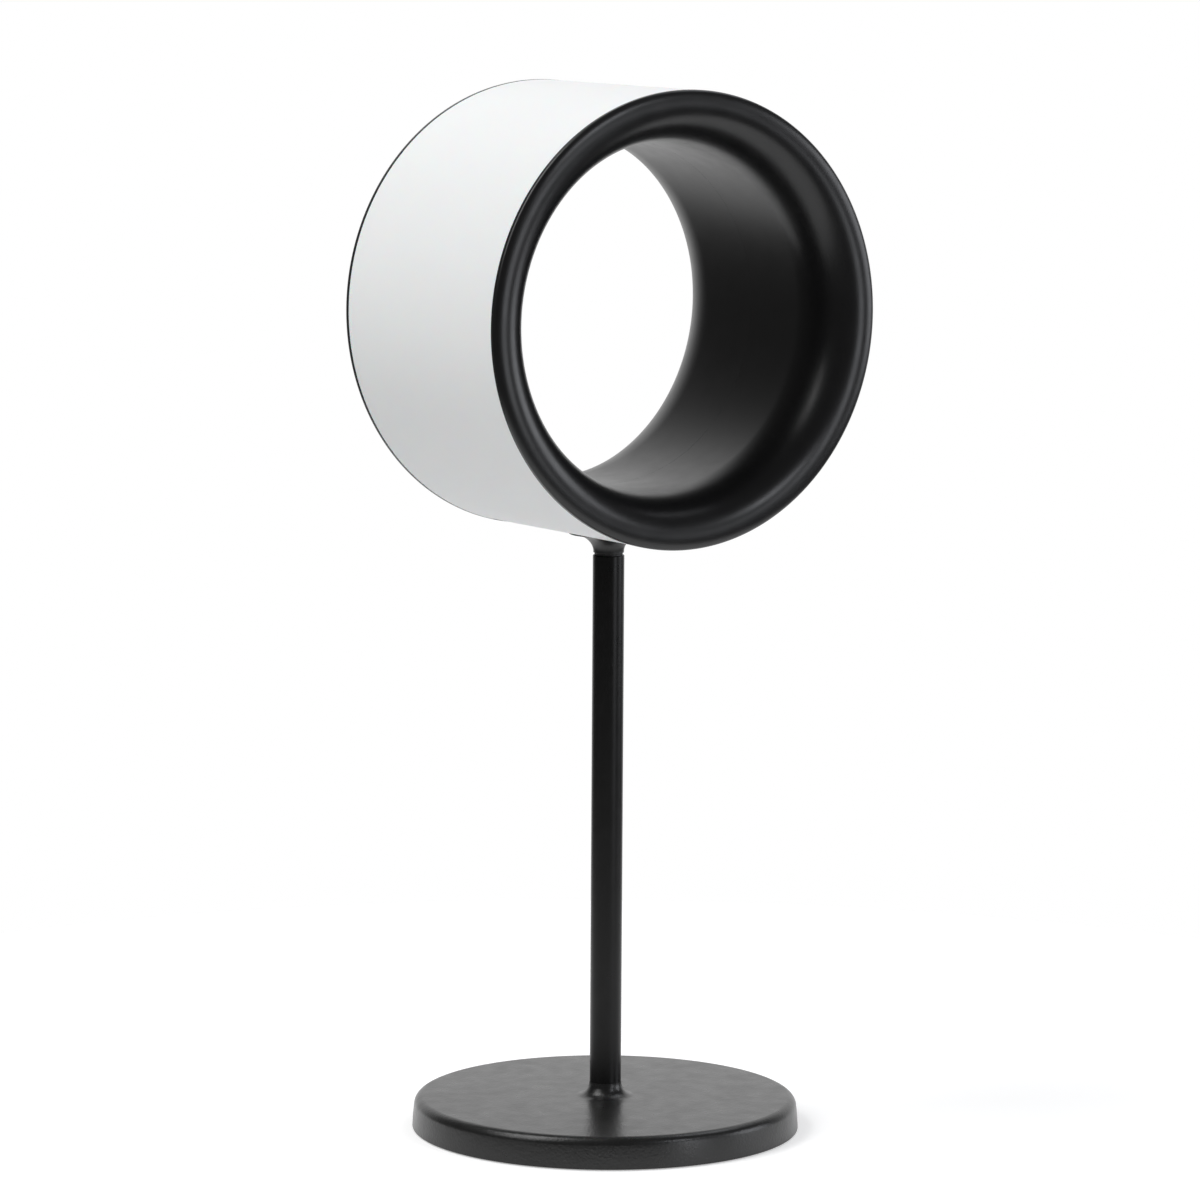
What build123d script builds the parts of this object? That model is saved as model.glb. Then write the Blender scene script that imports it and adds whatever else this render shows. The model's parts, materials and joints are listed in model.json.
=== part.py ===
from build123d import *

import os
from math import cos, radians, sin, sqrt, tan

# Table lamp: a short hollow drum head that turns on a slim stem above a round weighted base.
# Lengths are millimetres. +Z is up, and the origin is on the floor, on the stem's axis.
# The drum's axis runs along Y, and its front opens towards -Y.

os.makedirs("parts", exist_ok=True)

# ---------------------------------------------------------------- driving dimensions
# Drum head
drum_radius = 120.0  # outer edge of the rims
drum_half_length = 71.5  # mid-plane to where a rim starts to roll in
rim_roll = 6.8  # from the outer edge in to the circle where a rim stands furthest forward
crown_rise = 3.0  # how far that circle stands in front of the start of the roll
drum_depth = 28.0  # radially, from the outer edge in to the throat
flare_depth = 33.0  # along Y, from the crown to the straight throat
shell_wall = 2.0
rim_lip = 1.7  # width of the cylindrical edge behind the roll
seam_gap = 0.1  # between the two trumpets at mid-throat
spigot_length = 8.0
spigot_wall = 3.0
sleeve_wall = 2.7
seat_clearance = 0.2  # sleeve or spine to the spigot that it sits on
diffuser_step = 0.1  # the sleeve lies this far inside the rim's edge
end_gap = 0.1  # sleeve or spine to the rim's lip

# Spine along the drum's underside
spine_half_angle = 15.5
spine_inset = 0.4  # how far it lies inside the rims' edge
slot_gap = 0.15  # spine edge to sleeve edge
spine_pad_radius = 10.0
spine_pad_height = 4.1
spine_skin = 0.4  # how far the pad and the bosses start inside the strip
spine_screw_x = 12.0
spine_screw_radius = 1.5
spine_head_radius = 2.8
spine_head_height = 1.3

# Neck and swivel
neck_radius = 8.2
neck_height = 9.25
neck_straight = 0.6
neck_reach = 13.0  # how far the flare spreads, sideways
neck_rise = 9.6  # and upwards; the drum's underside cuts it off
neck_chamfer = 0.3
spindle_radius = 4.0
spindle_bore = 2.6
spindle_tail = 8.1  # spindle below the clip
fixed_clearance = 0.02
running_clearance = 0.05
collar_radius = 5.0
collar_thickness = 2.0
collar_recess = 3.0
collar_clearance = 0.1
bush_length = 15.0
bush_flange_radius = 7.6
bush_flange_thickness = 0.7
stop_lug_length = 8.0
stop_lug_wall = 0.85
stop_lug_half_angle = 8.0
stop_pin_radius = 0.8
stop_pin_edge = 4.0  # pin's axis to the spindle's end
stop_pin_gap = 0.18  # pin's tip to the tube's bore
friction_washer_radius = 7.5
friction_washer_thickness = 0.5
neck_gap = 0.1
spring_washer_radius = 4.95
spring_washer_thickness = 1.0
clip_radius = 4.95
clip_thickness = 0.8
clip_groove_depth = 0.7
clip_play = 0.1
dowel_radius = 1.0
dowel_offset = 6.5
dowel_length = 8.0
dowel_setback = 0.4  # its top below the top of the spine's pad
spindle_washer_radius = 8.0
spindle_washer_thickness = 1.0
spindle_nut_flats = 13.0
spindle_nut_thickness = 3.0
spindle_thread_rest = 0.8  # thread left standing past the nut

# Stem
stem_radius = 8.45
stem_bore = 6.0
stem_top = 311.55
stem_chamfer = 0.5
stem_seat_rise = 2.0  # foot of the tube above the base's top face

# Base
base_radius = 104.2  # at the lower edge
base_lean = 4.5  # degrees that the side leans in
base_top = 17.4
base_rim_fillet = 5.0
base_ground_gap = 0.6
shell_web = 3.0
shell_rim = 4.2  # at the lower edge
foot_flare = 7.5
foot_lip = 0.15
foot_fit = 0.05
pad_thickness = 1.5
pad_inset = 1.0
cover_thickness = 2.0
cover_clearance = 0.2
ballast_gap = 11.0  # to the inside of the rim
ballast_pocket = 26.0
lead_channel_width = 14.0
clamp_circle_radius = 60.0
clamp_count = 3
clamp_start = 30.0
clamp_screw_radius = 2.0
clamp_head_radius = 3.9
clamp_head_height = 1.9
clamp_boss_radius = 6.0
clamp_boss_depth = 4.0
clamp_thread_rest = 1.5
hole_clearance = 0.2
cut_over = 1.0  # how far a cut starts outside the material

# Foot fastening
insert_length = 18.0
foot_thread_radius = 5.0
foot_washer_radius = 11.0
foot_washer_thickness = 1.0
foot_nut_flats = 17.0
foot_nut_thickness = 3.0
foot_thread_rest = 0.6

# Power inlet and lead
jack_clearance = 0.4  # nut to the cover
jack_radius = 3.9
jack_length = 14.0
jack_flange_radius = 5.3
jack_flange_thickness = 1.3
jack_recess = 2.5  # the flange's seat, in from the lower edge
jack_nut_flats = 9.0
jack_nut_thickness = 3.0
jack_tail_length = 4.0
jack_tail_size = 5.0
socket_radius = 2.8
socket_depth = 9.5
contact_radius = 1.0
contact_setback = 1.0
lead_radius = 1.3
lead_clearance = 0.8  # lead to the cover
lead_bend = 8.0
lead_rise_run = 18.0
lead_straight = 14.2
lead_rise_bend = 30.0

# Light engine
band_half_length = 28.0
band_wall = 1.2
carrier_inset = 2.0  # from each end of the band
carrier_wall = 2.2
strip_offset = 15.0
strip_width = 10.0
strip_wall = 0.3
chip_count = 30
chip_width = 3.0
chip_height = 0.7
chip_length = 2.8
bond_gap = 0.05
reflector_wall = 1.1
reflector_gap = 0.3
reflector_end_gap = 4.0

# Driver board
board_width = 40.0
board_length = 76.0
board_thickness = 1.6
board_side_inset = 5.0
board_end_inset = 6.0
board_boss_radius = 3.0
board_screw_radius = 1.0
board_head_radius = 1.9
board_head_height = 1.2
board_screw_depth = 6.0
connector_width = 9.0
connector_length = 7.0
connector_height = 3.5
connector_gap = 0.3
lead_stand = 0.7  # lead past the spindle's top
strip_lead_radius = 0.5
strip_lead_x = 4.0
coil_radius = 5.0
coil_headroom = 2.45  # to the light engine above
capacitor_radius = 3.5
capacitor_headroom = 2.15
chip_block_width = 8.0
chip_block_length = 6.0
chip_block_height = 1.5

# Dimmer button
button_offset = 24.0
button_radius = 5.0
button_clearance = 0.3
button_rise = 1.0  # how far it stands out of the spine
button_flange_radius = 6.5
button_flange_thickness = 1.0
button_seat_gap = 0.3
button_post_radius = 1.5
button_edge = 0.5
button_travel = 0.8
switch_size = 6.0
switch_height = 3.5
plunger_radius = 1.5
plunger_gap = 0.1
plunger_entry = 1.5
plunger_room = 0.3

# ---------------------------------------------------------------- derived places
BASE = (Align.CENTER, Align.CENTER, Align.MIN)
HEX = sqrt(3) / 2  # flats over corners of a hexagon

face_y = drum_half_length
crown_y = face_y + crown_rise
flare_y = crown_y - flare_depth
lip_y = face_y - rim_lip
spigot_y = lip_y - spigot_length
crown_radius = drum_radius - rim_roll
throat_radius = drum_radius - drum_depth
flare_rise = crown_radius - throat_radius
throat_outside = throat_radius + shell_wall

sleeve_outside = drum_radius - diffuser_step
sleeve_inside = sleeve_outside - sleeve_wall
seat_radius = sleeve_inside - seat_clearance  # outside of the spigot
sleeve_half_length = lip_y - end_gap
spine_outside = drum_radius - spine_inset
spine_screw_y = (lip_y + spigot_y) / 2

bush_top = stem_top + bush_flange_thickness
bush_bottom = stem_top - bush_length
washer_top = bush_top + friction_washer_thickness
neck_bottom = washer_top + neck_gap
neck_edge_radius = neck_radius + neck_reach
neck_flare_start = neck_bottom + neck_straight
spine_bottom = neck_bottom + neck_height
spine_pad_top = spine_bottom + spine_pad_height
drum_axis_height = spine_bottom + spine_outside
neck_bore = spindle_radius + fixed_clearance
clip_top = bush_bottom - spring_washer_thickness - clip_play
clip_groove_radius = spindle_radius - clip_groove_depth
spindle_end_height = clip_top - clip_thickness - spindle_tail
stop_pin_height = spindle_end_height + stop_pin_edge
dowel_top = spine_pad_top - dowel_setback
spindle_washer_top = spine_pad_top + spindle_washer_thickness
spindle_nut_top = spindle_washer_top + spindle_nut_thickness
spindle_top = spindle_nut_top + spindle_thread_rest

stem_foot = base_top + stem_seat_rise
web_bottom = base_top - shell_web
base_side_height = base_top - base_ground_gap
base_corner = base_radius - base_side_height * tan(radians(base_lean))  # where side and top would meet
rim_setback = base_rim_fillet * tan(radians(45 - base_lean / 2))
rim_inside = base_radius - shell_rim
ballast_radius = rim_inside - ballast_gap
foot_bore = foot_thread_radius + hole_clearance
cover_top = pad_thickness + cover_thickness
foot_top = base_top + foot_flare
foot_washer_bottom = web_bottom - foot_washer_thickness
foot_nut_bottom = foot_washer_bottom - foot_nut_thickness
foot_thread_end = foot_nut_bottom - foot_thread_rest
clamp_screw_top = base_top - clamp_thread_rest - hole_clearance
clamp_screw_length = clamp_screw_top - pad_thickness

jack_height = cover_top + jack_nut_flats / 2 + jack_clearance
jack_face = base_radius - jack_recess
jack_rear = jack_face - jack_length
jack_nut_corner = jack_nut_flats / 2 / HEX
jack_nut_front = sqrt(rim_inside**2 - jack_nut_corner**2) - fixed_clearance
jack_tail_rear = jack_rear - jack_tail_length
lead_height = cover_top + lead_radius + lead_clearance
lead_rise_end = jack_tail_rear - lead_straight
lead_rise_start = lead_rise_end - lead_rise_run

lead_top = spindle_top + lead_stand
connector_bottom = lead_top + connector_gap
board_bottom = connector_bottom + connector_height
board_top = board_bottom + board_thickness
board_screw_x = board_width / 2 - board_side_inset
board_screw_y = board_length / 2 - board_end_inset

carrier_half_length = band_half_length - carrier_inset
band_inside = throat_outside + bond_gap
band_outside = band_inside + band_wall
carrier_inside = band_outside + bond_gap
carrier_outside = carrier_inside + carrier_wall
strip_inside = carrier_outside + bond_gap
strip_outside = strip_inside + strip_wall
engine_bottom = drum_axis_height - strip_outside - chip_height
reflector_start = band_half_length + reflector_gap
reflector_end = spigot_y + reflector_end_gap
reflector_tip = seat_radius - spigot_wall - 2 * bond_gap

drum_axis = Axis((0, 0, drum_axis_height), (0, 1, 0))
drum_front = Plane(origin=(0, 0, drum_axis_height), x_dir=(1, 0, 0), z_dir=(0, -1, 0))
drum_section = Plane(origin=(0, 0, drum_axis_height), x_dir=(0, 1, 0), z_dir=(1, 0, 0))
jack_face_plane = Plane(origin=(0, jack_face, jack_height), x_dir=(1, 0, 0), z_dir=(0, 1, 0))


def under(radius, x):
    """Height of the lower side of a circle about the drum's axis, at a place across it."""
    return drum_axis_height - sqrt(radius**2 - x**2)


def hexagon(flats):
    """Corner radius of a hexagon from its size across flats."""
    return flats / 2 / HEX


def round_cut(radius, bottom, top):
    """Cuts a round hole on the stem's axis out of the part that is being built."""
    with BuildSketch(Plane.XY.offset(bottom)) as hole:
        Circle(radius)
    extrude(hole.sketch, amount=top - bottom, mode=Mode.SUBTRACT)


def wedge(half_angle, length):
    """Corners of a wedge that opens downwards from the drum's axis."""
    half_width = length * tan(radians(half_angle))
    return [(0, 0), (-half_width, -length), (half_width, -length)]


def drum_ring(inside, outside, start, end):
    """Adds a ring about the drum's axis, from one Y to another."""
    with BuildSketch(drum_front.offset(-end)) as ring:
        Circle(outside)
        Circle(inside, mode=Mode.SUBTRACT)
    extrude(ring.sketch, amount=end - start)


def clamp_screw(extra=0.0, mode=Mode.ADD):
    """A countersunk clamp screw, head down, at each current location; extra widens its hole."""
    Cylinder(clamp_screw_radius + extra, clamp_screw_length + extra, align=BASE, mode=mode)
    Cone(clamp_head_radius + extra, clamp_screw_radius + extra, clamp_head_height, align=BASE, mode=mode)


# ---------------------------------------------------------------- base
clamp_plane = Plane.XY.offset(pad_thickness)

with BuildPart() as base_shell:
    with BuildSketch(Plane.XZ):
        with BuildLine():
            side_slope = (-sin(radians(base_lean)), cos(radians(base_lean)))
            rim_start = (base_corner - rim_setback * side_slope[0], base_top - rim_setback * side_slope[1])
            flare_start = (stem_radius + foot_lip + foot_flare, base_top)
            flare_end = (stem_radius + foot_lip, foot_top)
            Polyline(
                flare_end,
                (stem_radius + foot_fit, foot_top),
                (stem_radius + foot_fit, stem_foot),
                (foot_bore, stem_foot),
                (foot_bore, web_bottom),
                (rim_inside, web_bottom),
                (rim_inside, base_ground_gap),
                (base_radius, base_ground_gap),
                rim_start,
            )
            rim = JernArc(rim_start, side_slope, base_rim_fillet, 90 - base_lean)
            Line(rim @ 1, flare_start)
            RadiusArc(flare_start, flare_end, -foot_flare)
        make_face()
    revolve(axis=Axis.Z)
    with BuildSketch(Plane.XY.offset(web_bottom - clamp_boss_depth)):
        with PolarLocations(clamp_circle_radius, clamp_count, start_angle=clamp_start):
            Circle(clamp_boss_radius)
    extrude(amount=clamp_boss_depth)
    with Locations(clamp_plane):
        with PolarLocations(clamp_circle_radius, clamp_count, start_angle=clamp_start):
            clamp_screw(fixed_clearance, Mode.SUBTRACT)
    with BuildSketch(jack_face_plane):
        Circle(jack_flange_radius + hole_clearance)
    extrude(amount=2 * jack_recess, mode=Mode.SUBTRACT)
    with BuildSketch(jack_face_plane):
        Circle(jack_radius + foot_fit)
    extrude(amount=-2 * shell_rim, mode=Mode.SUBTRACT)
base_shell.part.label = "base_shell"
export_step(base_shell.part, "parts/base_shell.step")

with BuildPart() as ballast_plate:
    with BuildSketch(Plane.XY.offset(cover_top)):
        Circle(ballast_radius)
        Circle(ballast_pocket, mode=Mode.SUBTRACT)
        with Locations((0, ballast_radius / 2)):
            Rectangle(lead_channel_width, ballast_radius + 2 * cut_over, mode=Mode.SUBTRACT)
        with PolarLocations(clamp_circle_radius, clamp_count, start_angle=clamp_start):
            Circle(clamp_screw_radius + hole_clearance, mode=Mode.SUBTRACT)
    extrude(amount=web_bottom - cover_top)
    with BuildSketch(Plane.XY.offset(web_bottom)):
        with PolarLocations(clamp_circle_radius, clamp_count, start_angle=clamp_start):
            Circle(clamp_boss_radius + hole_clearance)
    extrude(amount=-clamp_boss_depth - hole_clearance, mode=Mode.SUBTRACT)
ballast_plate.part.label = "ballast_plate"
export_step(ballast_plate.part, "parts/ballast_plate.step")

with BuildPart() as base_cover:
    with BuildSketch(Plane.XY.offset(pad_thickness)):
        Circle(rim_inside - cover_clearance)
    extrude(amount=cover_thickness)
    with Locations(clamp_plane):
        with PolarLocations(clamp_circle_radius, clamp_count, start_angle=clamp_start):
            clamp_screw(foot_fit, Mode.SUBTRACT)
base_cover.part.label = "base_cover"
export_step(base_cover.part, "parts/base_cover.step")

with BuildPart(clamp_plane) as cover_screws:
    with PolarLocations(clamp_circle_radius, clamp_count, start_angle=clamp_start):
        clamp_screw()
cover_screws.part.label = "cover_screws"
export_step(cover_screws.part, "parts/cover_screws.step")

with BuildPart() as base_pad:
    with BuildSketch(Plane.XY):
        Circle(rim_inside - pad_inset)
    extrude(amount=pad_thickness)
base_pad.part.label = "base_pad"
export_step(base_pad.part, "parts/base_pad.step")

# ---------------------------------------------------------------- stem and its foot
with BuildPart() as stem_tube:
    with BuildSketch(Plane.XY.offset(stem_foot)):
        Circle(stem_radius)
        Circle(stem_bore, mode=Mode.SUBTRACT)
    extrude(amount=stem_top - stem_foot)
    top_edges = stem_tube.faces().sort_by(Axis.Z)[-1].outer_wire().edges()
    chamfer(top_edges, stem_chamfer)
stem_tube.part.label = "stem_tube"
export_step(stem_tube.part, "parts/stem_tube.step")

with BuildPart() as foot_insert:
    with BuildSketch(Plane.XY.offset(stem_foot)):
        Circle(stem_bore - fixed_clearance)
    extrude(amount=insert_length)
    with BuildSketch(Plane.XY.offset(foot_thread_end)):
        Circle(foot_thread_radius)
    extrude(amount=stem_foot - foot_thread_end)
    round_cut(spindle_bore, foot_thread_end, stem_foot + insert_length)
foot_insert.part.label = "foot_insert"
export_step(foot_insert.part, "parts/foot_insert.step")

with BuildPart() as foot_washer:
    with BuildSketch(Plane.XY.offset(foot_washer_bottom)):
        Circle(foot_washer_radius)
        Circle(foot_bore, mode=Mode.SUBTRACT)
    extrude(amount=foot_washer_thickness)
foot_washer.part.label = "foot_washer"
export_step(foot_washer.part, "parts/foot_washer.step")

with BuildPart() as foot_nut:
    with BuildSketch(Plane.XY.offset(foot_nut_bottom)):
        RegularPolygon(hexagon(foot_nut_flats), 6)
        Circle(foot_thread_radius + fixed_clearance, mode=Mode.SUBTRACT)
    extrude(amount=foot_nut_thickness)
foot_nut.part.label = "foot_nut"
export_step(foot_nut.part, "parts/foot_nut.step")

# ---------------------------------------------------------------- power inlet and supply lead
with BuildPart() as power_inlet:
    with BuildSketch(jack_face_plane):
        Circle(jack_flange_radius)
    extrude(amount=jack_flange_thickness)
    with BuildSketch(jack_face_plane):
        Circle(jack_radius)
    extrude(amount=-jack_length)
    with BuildSketch(jack_face_plane.offset(-jack_length)):
        Rectangle(jack_tail_size, jack_tail_size)
    extrude(amount=-jack_tail_length)
    with BuildSketch(jack_face_plane.offset(jack_flange_thickness)):
        Circle(socket_radius)
    extrude(amount=-socket_depth, mode=Mode.SUBTRACT)
power_inlet.part.label = "power_inlet"
export_step(power_inlet.part, "parts/power_inlet.step")

with BuildPart() as inlet_contact:
    with BuildSketch(jack_face_plane.offset(jack_flange_thickness - contact_setback)):
        Circle(contact_radius)
    extrude(amount=-(socket_depth - contact_setback))
inlet_contact.part.label = "inlet_contact"
export_step(inlet_contact.part, "parts/inlet_contact.step")

with BuildPart() as inlet_nut:
    with BuildSketch(Plane(origin=(0, jack_nut_front, jack_height), x_dir=(1, 0, 0), z_dir=(0, 1, 0))):
        RegularPolygon(jack_nut_corner, 6)
        Circle(jack_radius + fixed_clearance, mode=Mode.SUBTRACT)
    extrude(amount=-jack_nut_thickness)
inlet_nut.part.label = "inlet_nut"
export_step(inlet_nut.part, "parts/inlet_nut.step")

with BuildPart() as supply_lead:
    with BuildLine() as lead_route:
        FilletPolyline(
            (0, 0, lead_top),
            (0, 0, lead_height),
            (0, lead_rise_start, lead_height),
            (0, lead_rise_end, jack_height),
            (0, jack_tail_rear, jack_height),
            radius=[lead_bend, lead_rise_bend, lead_rise_bend],
        )
    with BuildSketch(Plane(origin=(0, 0, lead_top), z_dir=(0, 0, -1))):
        Circle(lead_radius)
    sweep()
supply_lead.part.label = "supply_lead"
export_step(supply_lead.part, "parts/supply_lead.step")

# ---------------------------------------------------------------- swivel, fixed side
with BuildPart() as swivel_bush:
    with BuildSketch(Plane.XY.offset(bush_bottom)):
        Circle(stem_bore - fixed_clearance)
    extrude(amount=bush_length)
    with BuildSketch(Plane.XY.offset(stem_top)):
        Circle(bush_flange_radius)
    extrude(amount=bush_flange_thickness)
    with BuildSketch(Plane.XY.offset(bush_bottom - stop_lug_length)):
        Circle(stem_bore - fixed_clearance)
        Circle(stem_bore - stop_lug_wall, mode=Mode.SUBTRACT)
        with BuildLine():
            lug_half_width = stem_radius * tan(radians(stop_lug_half_angle))
            Polyline((0, 0), (-lug_half_width, stem_radius), (lug_half_width, stem_radius), close=True)
        make_face(mode=Mode.INTERSECT)
    extrude(amount=stop_lug_length)
    round_cut(spindle_radius + running_clearance, bush_bottom, bush_top)
swivel_bush.part.label = "swivel_bush"
export_step(swivel_bush.part, "parts/swivel_bush.step")

with BuildPart() as friction_washer:
    with BuildSketch(Plane.XY.offset(bush_top)):
        Circle(friction_washer_radius)
        Circle(spindle_radius + running_clearance, mode=Mode.SUBTRACT)
    extrude(amount=friction_washer_thickness)
friction_washer.part.label = "friction_washer"
export_step(friction_washer.part, "parts/friction_washer.step")

# ---------------------------------------------------------------- swivel, turning side
with BuildPart() as swivel_spindle:
    with BuildSketch(Plane.XY.offset(spindle_end_height)):
        Circle(spindle_radius)
    extrude(amount=spindle_top - spindle_end_height)
    with BuildSketch(Plane.XY.offset(neck_bottom + collar_recess - collar_thickness)):
        Circle(collar_radius)
    extrude(amount=collar_thickness)
    with BuildSketch(Plane.XY.offset(clip_top)):
        Circle(spindle_radius)
        Circle(clip_groove_radius, mode=Mode.SUBTRACT)
    extrude(amount=-clip_thickness, mode=Mode.SUBTRACT)
    round_cut(spindle_bore, spindle_end_height, spindle_top)
    with BuildSketch(Plane.XZ.offset(spindle_bore)):
        with Locations((0, stop_pin_height)):
            Circle(stop_pin_radius)
    extrude(amount=spindle_radius, mode=Mode.SUBTRACT)
swivel_spindle.part.label = "swivel_spindle"
export_step(swivel_spindle.part, "parts/swivel_spindle.step")

with BuildPart() as stop_pin:
    with BuildSketch(Plane.XZ.offset(spindle_bore + fixed_clearance)):
        with Locations((0, stop_pin_height)):
            Circle(stop_pin_radius)
    extrude(amount=stem_bore - stop_pin_gap - spindle_bore - fixed_clearance)
stop_pin.part.label = "stop_pin"
export_step(stop_pin.part, "parts/stop_pin.step")

with BuildPart() as retaining_clip:
    with BuildSketch(Plane.XY.offset(clip_top)):
        Circle(clip_radius)
        Circle(clip_groove_radius + fixed_clearance, mode=Mode.SUBTRACT)
        with Locations((clip_radius, 0)):
            Rectangle(2 * clip_radius, clip_groove_radius, mode=Mode.SUBTRACT)
    extrude(amount=-clip_thickness)
retaining_clip.part.label = "retaining_clip"
export_step(retaining_clip.part, "parts/retaining_clip.step")

with BuildPart() as spring_washer:
    with BuildSketch(Plane.XY.offset(clip_top)):
        Circle(spring_washer_radius)
        Circle(spindle_radius + running_clearance, mode=Mode.SUBTRACT)
    extrude(amount=spring_washer_thickness)
spring_washer.part.label = "spring_washer"
export_step(spring_washer.part, "parts/spring_washer.step")

with BuildPart() as neck:
    with BuildSketch(Plane.XZ):
        with BuildLine():
            Polyline(
                (neck_radius, neck_flare_start),
                (neck_radius, neck_bottom + neck_chamfer),
                (neck_radius - neck_chamfer, neck_bottom),
                (neck_bore, neck_bottom),
                (neck_bore, spine_pad_top),
                (neck_edge_radius, spine_pad_top),
                (neck_edge_radius, neck_flare_start + neck_rise),
            )
            EllipticalCenterArc(
                (neck_edge_radius, neck_flare_start), neck_reach, neck_rise, start_angle=90, arc_size=90
            )
        make_face()
    revolve(axis=Axis.Z)
    with BuildSketch(drum_front):
        Circle(spine_outside)
    extrude(amount=neck_edge_radius + cut_over, both=True, mode=Mode.SUBTRACT)
    round_cut(collar_radius + collar_clearance, neck_bottom, neck_bottom + collar_recess)
    with BuildSketch(Plane.XY.offset(dowel_top)):
        with Locations((0, -dowel_offset)):
            Circle(dowel_radius)
    extrude(amount=-dowel_length, mode=Mode.SUBTRACT)
neck.part.label = "neck"
export_step(neck.part, "parts/neck.step")

with BuildPart() as neck_dowel:
    with BuildSketch(Plane.XY.offset(dowel_top)):
        with Locations((0, -dowel_offset)):
            Circle(dowel_radius)
    extrude(amount=-dowel_length)
neck_dowel.part.label = "neck_dowel"
export_step(neck_dowel.part, "parts/neck_dowel.step")

with BuildPart() as spindle_washer:
    with BuildSketch(Plane.XY.offset(spine_pad_top)):
        Circle(spindle_washer_radius)
        Circle(spindle_radius + hole_clearance, mode=Mode.SUBTRACT)
    extrude(amount=spindle_washer_thickness)
spindle_washer.part.label = "spindle_washer"
export_step(spindle_washer.part, "parts/spindle_washer.step")

with BuildPart() as spindle_nut:
    with BuildSketch(Plane.XY.offset(spindle_washer_top)):
        RegularPolygon(hexagon(spindle_nut_flats), 6)
        Circle(spindle_radius + fixed_clearance, mode=Mode.SUBTRACT)
    extrude(amount=spindle_nut_thickness)
spindle_nut.part.label = "spindle_nut"
export_step(spindle_nut.part, "parts/spindle_nut.step")

# ---------------------------------------------------------------- spine
spine_head_bottom = under(spine_outside, spine_screw_x + spine_head_radius) + fixed_clearance
spine_screw_tip = under(seat_radius - spigot_wall, spine_screw_x) - hole_clearance
spine_screw_length = spine_screw_tip - spine_head_bottom
spine_screw_plane = Plane.XY.offset(spine_head_bottom)


def spine_screw(extra=0.0, mode=Mode.ADD):
    """A countersunk spine screw, head down, at each current location; extra widens its hole."""
    Cylinder(spine_screw_radius + extra, spine_screw_length + extra, align=BASE, mode=mode)
    Cone(spine_head_radius + extra, spine_screw_radius + extra, spine_head_height, align=BASE, mode=mode)


with BuildPart() as spine:
    with BuildSketch(drum_front):
        Circle(spine_outside)
        Circle(sleeve_inside, mode=Mode.SUBTRACT)
        with BuildLine():
            Polyline(*wedge(spine_half_angle, 2 * drum_radius), close=True)
        make_face(mode=Mode.INTERSECT)
    extrude(amount=sleeve_half_length, both=True)
    pad_start = under(spine_outside, spine_pad_radius) + spine_skin
    with BuildSketch(Plane.XY.offset(pad_start)):
        Circle(spine_pad_radius)
    extrude(amount=spine_pad_top - pad_start)
    boss_start = under(spine_outside, board_screw_x + board_boss_radius) + spine_skin
    with BuildSketch(Plane.XY.offset(boss_start)):
        with GridLocations(2 * board_screw_x, 2 * board_screw_y, 2, 2):
            Circle(board_boss_radius)
    extrude(amount=board_bottom - boss_start)
    with BuildSketch(Plane.XY.offset(board_bottom)):
        with GridLocations(2 * board_screw_x, 2 * board_screw_y, 2, 2):
            Circle(board_screw_radius + fixed_clearance)
    extrude(amount=-board_screw_depth, mode=Mode.SUBTRACT)
    round_cut(neck_bore, spine_bottom - cut_over, spine_pad_top)
    with BuildSketch(Plane.XY.offset(dowel_top)):
        with Locations((0, -dowel_offset)):
            Circle(dowel_radius)
    extrude(amount=-dowel_length, mode=Mode.SUBTRACT)
    with BuildSketch(Plane.XY.offset(spine_bottom - cut_over)):
        with Locations((0, button_offset)):
            Circle(button_radius + button_clearance)
    extrude(amount=spine_pad_height + cut_over, mode=Mode.SUBTRACT)
    with Locations(spine_screw_plane):
        with GridLocations(2 * spine_screw_x, 2 * spine_screw_y, 2, 2):
            spine_screw(foot_fit, Mode.SUBTRACT)
            with Locations((0, 0, -2 * cut_over)):
                Cylinder(spine_head_radius + foot_fit, 2 * cut_over, align=BASE, mode=Mode.SUBTRACT)
spine.part.label = "spine"
export_step(spine.part, "parts/spine.step")

with BuildPart(spine_screw_plane) as spine_screws:
    with GridLocations(2 * spine_screw_x, 2 * spine_screw_y, 2, 2):
        spine_screw()
spine_screws.part.label = "spine_screws"
export_step(spine_screws.part, "parts/spine_screws.step")

# ---------------------------------------------------------------- drum shells
with BuildPart() as rear_trumpet:
    with BuildSketch(drum_section):
        with BuildLine():
            flare_centre = (flare_y, crown_radius)
            inside_rise = flare_rise - shell_wall
            throat_end = (flare_y, throat_radius)
            back_crown = (crown_y - shell_wall, crown_radius)
            Line((seam_gap / 2, throat_radius), throat_end)
            EllipticalCenterArc(
                flare_centre, flare_depth, flare_rise, start_angle=270, arc_size=90
            )
            EllipticalCenterArc(
                (face_y, crown_radius), crown_rise, rim_roll, start_angle=0, arc_size=90
            )
            Polyline(
                (face_y, drum_radius),
                (lip_y, drum_radius),
                (lip_y, seat_radius),
                (spigot_y, seat_radius),
                (spigot_y, seat_radius - spigot_wall),
                (crown_y - shell_wall, seat_radius - spigot_wall),
                back_crown,
            )
            EllipticalCenterArc(
                flare_centre,
                flare_depth - shell_wall,
                inside_rise,
                start_angle=270,
                arc_size=90,
            )
            Polyline((flare_y, throat_outside), (seam_gap / 2, throat_outside), (seam_gap / 2, throat_radius))
        make_face()
    revolve(axis=drum_axis)
    with Locations(spine_screw_plane):
        with Locations((spine_screw_x, spine_screw_y), (-spine_screw_x, spine_screw_y)):
            spine_screw(fixed_clearance, Mode.SUBTRACT)
rear_trumpet.part.label = "rear_trumpet"
export_step(rear_trumpet.part, "parts/rear_trumpet.step")

with BuildPart() as front_trumpet:
    mirror(rear_trumpet.part, about=Plane.XZ)
front_trumpet.part.label = "front_trumpet"
export_step(front_trumpet.part, "parts/front_trumpet.step")

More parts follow.
